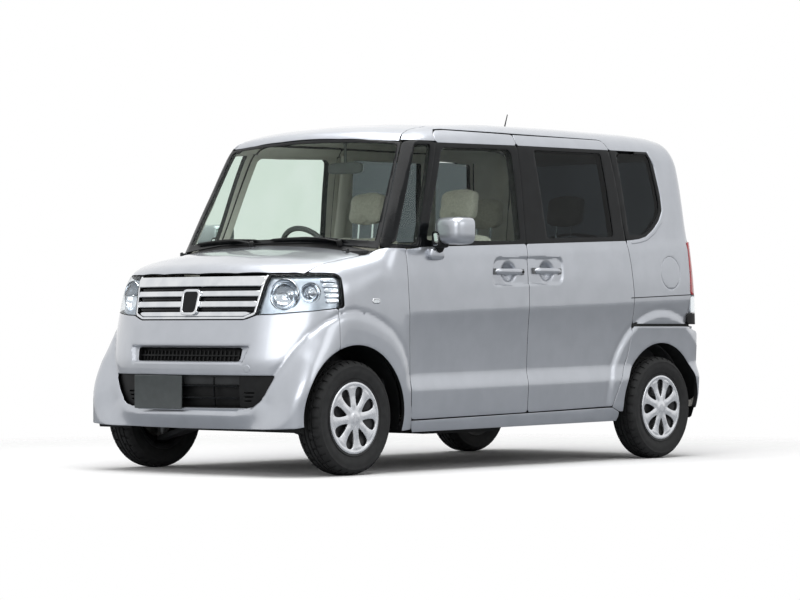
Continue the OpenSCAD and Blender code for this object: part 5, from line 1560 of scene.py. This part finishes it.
for side, at in SIDES:
    door = [(-0.80, 0.32), (-0.83, 0.80), (-0.78, 1.07), (-0.30, 1.10), (0.085, 1.115), (0.085, 0.32)]
    x = 0.672
    piece(mirrored(bar(door, x - 0.022, x, 0.008), side), f"{at}_front_door_trim", cabin_plastic,
          f"{at}_front_door", 40)
    piece(mirrored(block((x - 0.075, -0.50, 0.70), (x - 0.02, -0.10, 0.745), 0.015, segments=3), side),
          f"{at}_armrest", dark_cabin, f"{at}_front_door")
    inner = [(0.13, 0.34), (0.13, 1.12), (0.96, 1.15), (0.985, 0.98), (0.99, 0.62), (0.85, 0.42)]
    piece(mirrored(bar(inner, x - 0.022, x, 0.008), side), f"{at}_sliding_door_trim", cabin_plastic, "body",
          40)
    piece(mirrored(block((0.600, 1.02, 0.665), (0.640, 1.50, 1.17), 0.012), side), f"{at}_luggage_trim",
          cabin_plastic, "body")
    # Middle pillar and rear pillar trims
    post = np.array(on_side([(0.16, 1.10), (0.17, 1.35), (0.165, 1.66)])) - np.array([0.062, 0, 0])
    post = rod(post, [0.045, 0.040, 0.045], 16, (0.35, 1.0), (0, 1, 0))
    piece(mirrored(post, side), f"{at}_middle_pillar_trim", cabin_plastic, "body")
panel("headliner", TOP, fine(both_halves([(0.0, -0.75, 1.7), (0.50, -0.72, 1.7), (0.515, -0.4, 1.7),
                                          (0.515, 1.33, 1.7), (0.0, 1.34, 1.7)])), felt, "body", cell=0.05,
      depth=6 * MM, offset=-26 * MM, gap=0, roll=0, slot="cabin_plastic", plain=True)
piece(bar([(-0.77, 0.256), (-0.47, 0.256), (-0.43, 0.326), (0.94, 0.326), (0.94, 0.335), (-0.436, 0.335),
           (-0.48, 0.268), (-0.77, 0.268)], -0.612, 0.612, 0), "floor_carpet", carpet, "body")
piece(block((-0.575, 0.97, 0.455), (0.575, 1.50, 0.475), 0.006), "luggage_board", carpet, "body")

# ---------- Seats: cushions swollen by a cloth run
# Woven seat cloth: yarn about 1 mm, drawn at 2 mm.
seat_cloth, tree, s = new_material("woven_seat_cloth", "#c2beb5", 0.92, 0.0, Sheen_Weight=0.4)
vary(tree, s, "#bab6ad", "#cac6bd", 90.0)
grain(tree, s, 500.0, 0.5, 0.4 * MM, "TexVoronoi")

SEAT = {"cushion": ((-0.262, -0.238, 0.175), (0.262, 0.150, 0.325)), "back": ((-0.262, -0.062, 0.325),
                                                                              (0.262, 0.056, 0.895)),
        "headrest": ((-0.128, -0.045, 0.945), (0.128, 0.045, 1.125))}


SWELL_LIMIT = 12 * MM


def lean(what, p):
    """Tips the seat's back and headrest backward as they rise, and lifts the cushion's front."""
    if what == "cushion":
        return Vector((p.x, p.y, p.z + 0.030 * max(-p.y, 0) / 0.24))
    return Vector((p.x, p.y + 0.195 + 0.115 * (p.z - 0.325) / 0.6, p.z))


def swollen(what):
    """One cushion as a mesh: shrunk, pinned by its limits, blown up as cloth, then its sewn lines pressed in."""
    low, high = (Vector(v) for v in SEAT[what])
    slim = 9 * MM
    bm = soft_block(low + Vector((slim,) * 3), high - Vector((slim,) * 3), 7.0 if what != "headrest" else 4.5,
                    11)
    for v in bm.verts:
        v.co = lean(what, v.co)
    mesh = bpy.data.meshes.new(f"seat_{what}")
    bm.to_mesh(mesh)
    bm.free()
    o = bpy.data.objects.new(f"seat_{what}", mesh)
    bpy.context.scene.collection.objects.link(o)
    bpy.context.view_layer.objects.active = o
    remesh = o.modifiers.new("even", "REMESH")
    remesh.mode, remesh.voxel_size = "VOXEL", 6 * MM
    bpy.ops.object.modifier_apply(modifier="even")
    start = np.array([v.co[:] for v in o.data.vertices])
    cloth = o.modifiers.new("swell", "CLOTH")
    cloth.settings.use_pressure, cloth.settings.uniform_pressure_force = True, 4.0
    cloth.settings.effector_weights.gravity = 0.0
    cloth.settings.quality = 3
    for n in range(1, 21):
        bpy.context.scene.frame_set(n)
    bpy.ops.object.modifier_apply(modifier="swell")
    bpy.context.scene.frame_set(1)
    moved = np.array([v.co[:] for v in o.data.vertices]) - start
    far = np.linalg.norm(moved, axis=1)
    scale = np.where(far > SWELL_LIMIT, SWELL_LIMIT / np.maximum(far, 1e-9), 1.0)
    for v, place in zip(o.data.vertices, start + moved * scale[:, None]):
        v.co = place
    bm = bmesh.new()
    bm.from_mesh(o.data)
    bm.normal_update()
    normals = [v.normal.copy() for v in bm.verts]
    for v, n in zip(bm.verts, normals):
        x, y, z = v.co
        if what == "cushion":
            lines = [abs(abs(x) - 0.165)] if n.z > 0.3 else []
            lines += [abs(y + 0.02)] if n.z > 0.3 and abs(x) < 0.165 else []
            lines += [abs(z - 0.225)] if abs(n.z) < 0.6 else []
        elif what == "back":
            middle_y = 0.225 + 0.115 * (z - 0.325) / 0.6
            lines = [abs(abs(y - middle_y) - 0.03)]
            if n.y < -0.3:
                lines = [abs(abs(x) - 0.165), abs(z - 0.62) if abs(x) < 0.165 else 1.0]
        else:
            lines = [abs(abs(x) - 0.118)]
        near = min(lines) if lines else 1.0
        pressed = 6 * MM * math.exp(-(near / 0.0065) ** 2)
        v.co -= n * pressed
    bpy.data.objects.remove(o)
    return bm


forms = {what: swollen(what) for what in SEAT}
floor_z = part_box("front_seats")[0].z
SEATS = (("driver", -0.320, -0.295), ("passenger", 0.320, -0.295), ("rear_left", 0.285, 0.6625),
         ("rear_right", -0.285, 0.6625))
SEAT_NODES = {("driver", "cushion"): ["front_seats"], ("rear_left", "cushion"): ["rear_seats"]}
for who, x, y in SEATS:
    shift = Matrix.Translation((x, y, floor_z))
    for what, form in forms.items():
        bm = form.copy()
        bmesh.ops.transform(bm, matrix=shift, verts=bm.verts)
        o = piece(bm, f"{who}_seat_{what}", seat_cloth, "body", 60, SEAT_NODES.get((who, what),
                                                                                                 ()))
    base = block((-0.20, -0.18, 0.004), (0.20, 0.17, 0.18), 0.01)
    side_shield = block((-0.265, -0.20, 0.10), (-0.255, 0.20, 0.21), 0.004)
    other = block((0.255, -0.20, 0.10), (0.265, 0.20, 0.21), 0.004)
    posts = [rod([(px, 0.305, 0.86), (px, 0.312, 0.92), (px, 0.316, 0.98)], 0.006, 10, up=(1, 0, 0))
             for px in (-0.05, 0.05)]
    frame_bm = join(base, side_shield, other)
    bmesh.ops.transform(frame_bm, matrix=shift, verts=frame_bm.verts)
    piece(frame_bm, f"{who}_seat_base", dark_cabin, "body")
    posts_bm = join(*posts)
    bmesh.ops.transform(posts_bm, matrix=shift, verts=posts_bm.verts)
    piece(posts_bm, f"{who}_headrest_posts", chrome, "body")
for form in forms.values():
    form.free()

# ---------- Rear end: handle, plate garnish, wiper, high lamp
garnish = rounded([(-0.36, 1.075), (0.36, 1.075), (0.36, 1.03), (-0.36, 1.03)], 0.012)
panel("tailgate_garnish", GATE, on_end(fine(garnish), 1), chrome, "tailgate", cell=0.012, depth=14 * MM,
      offset=9 * MM, gap=0, roll=4 * MM, slot="bright_trim", plain=True)
blank = rounded([(-0.168, 1.015), (0.168, 1.015), (0.168, 0.845), (-0.168, 0.845)], 0.01)
panel("rear_plate_blank", GATE, on_end(fine(blank), 1), plate_grey, "tailgate", cell=0.02, depth=5 * MM,
      offset=5 * MM, gap=0, roll=2 * MM, slot="black_plastic", plain=True)
high_lamp = rounded([(-0.16, 1.725), (0.16, 1.725), (0.16, 1.708), (-0.16, 1.708)], 0.005)
panel("high_stop_lamp", GATE, on_end(fine(high_lamp), 1), red_lens, "tailgate", cell=(0.02, 0.006),
      depth=10 * MM, offset=4 * MM, gap=0, roll=2 * MM, slot="tail_lens", plain=True)
t = np.linspace(0, 1, 13)
sweep = np.array(on_end([(0.02 - 0.36 * k, 1.235 + 0.02 * math.sin(k * HALF_TURN)) for k in t], 1))
blade = rod(sweep + np.array([0, 0.010, 0]), np.interp(t, [0, 0.04, 0.5, 0.96, 1], [0.0001, 0.006, 0.008, 0.005,
                                                                                    0.0001]), 10, (0.7, 1.0))
reach = np.array(on_end([(0.06, 1.17), (0.02, 1.205), (-0.05, 1.235), (-0.16, 1.252)], 1))
arm = rod(reach + np.array([0, 0.018, 0]), [0.0001, 0.012, 0.009, 0.005], 10, (0.7, 1.0))
boss = stand(spun([(0.0002, 0.026), (0.014, 0.024), (0.018, 0.014), (0.019, -0.01)], 28),
             Vector(on_end([(0.05, 1.175)], 1)[0]), (0, 1, 0.05))
piece(join(blade, arm, boss), "rear_wiper", black_plastic, "tailgate", 50)

# ---------- Looks of the plain frame parts under and inside the car
# Electrocoated and sealed underbody steel.
underbody_steel, tree, s = new_material("sealed_underbody_steel", "#26282a", 0.7)
vary(tree, s, "#222426", "#2e3032", 9.0)
grain(tree, s, 200.0, 0.3, 0.5 * MM)
# Cast aluminium of the engine and the knuckles: matt, sand-cast skin.
cast_metal, tree, s = new_material("sand_cast_aluminium", "#8d8f90", 0.55, 0.9)
vary(tree, s, "#838586", "#98999a", 25.0)
grain(tree, s, 350.0, 0.35, 0.4 * MM)
# Aluminised exhaust steel.
exhaust_steel, tree, s = new_material("aluminised_steel", "#7c7a76", 0.4, 0.95)
vary(tree, s, "#6c6963", "#8a8884", 14.0)
grain(tree, s, 500.0, 0.12, 0.1 * MM)
STEEL_NODES = ("floor_pan", "toe_board", "footwell_floor", "load_floor", "rear_wheel_housings", "bulkhead",
               "front_structure", "front_suspension", "rear_axle")
for nodes, material in ((STEEL_NODES, underbody_steel), (("engine", "left_knuckle", "right_knuckle"),
                                                         cast_metal), (("fuel_tank",), black_plastic),
                        (("exhaust",), exhaust_steel)):
    for name in nodes:
        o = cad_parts[name]
        o.data.materials.clear()
        o.data.materials.append(material)

bpy.context.scene.view_settings.view_transform = "Standard"
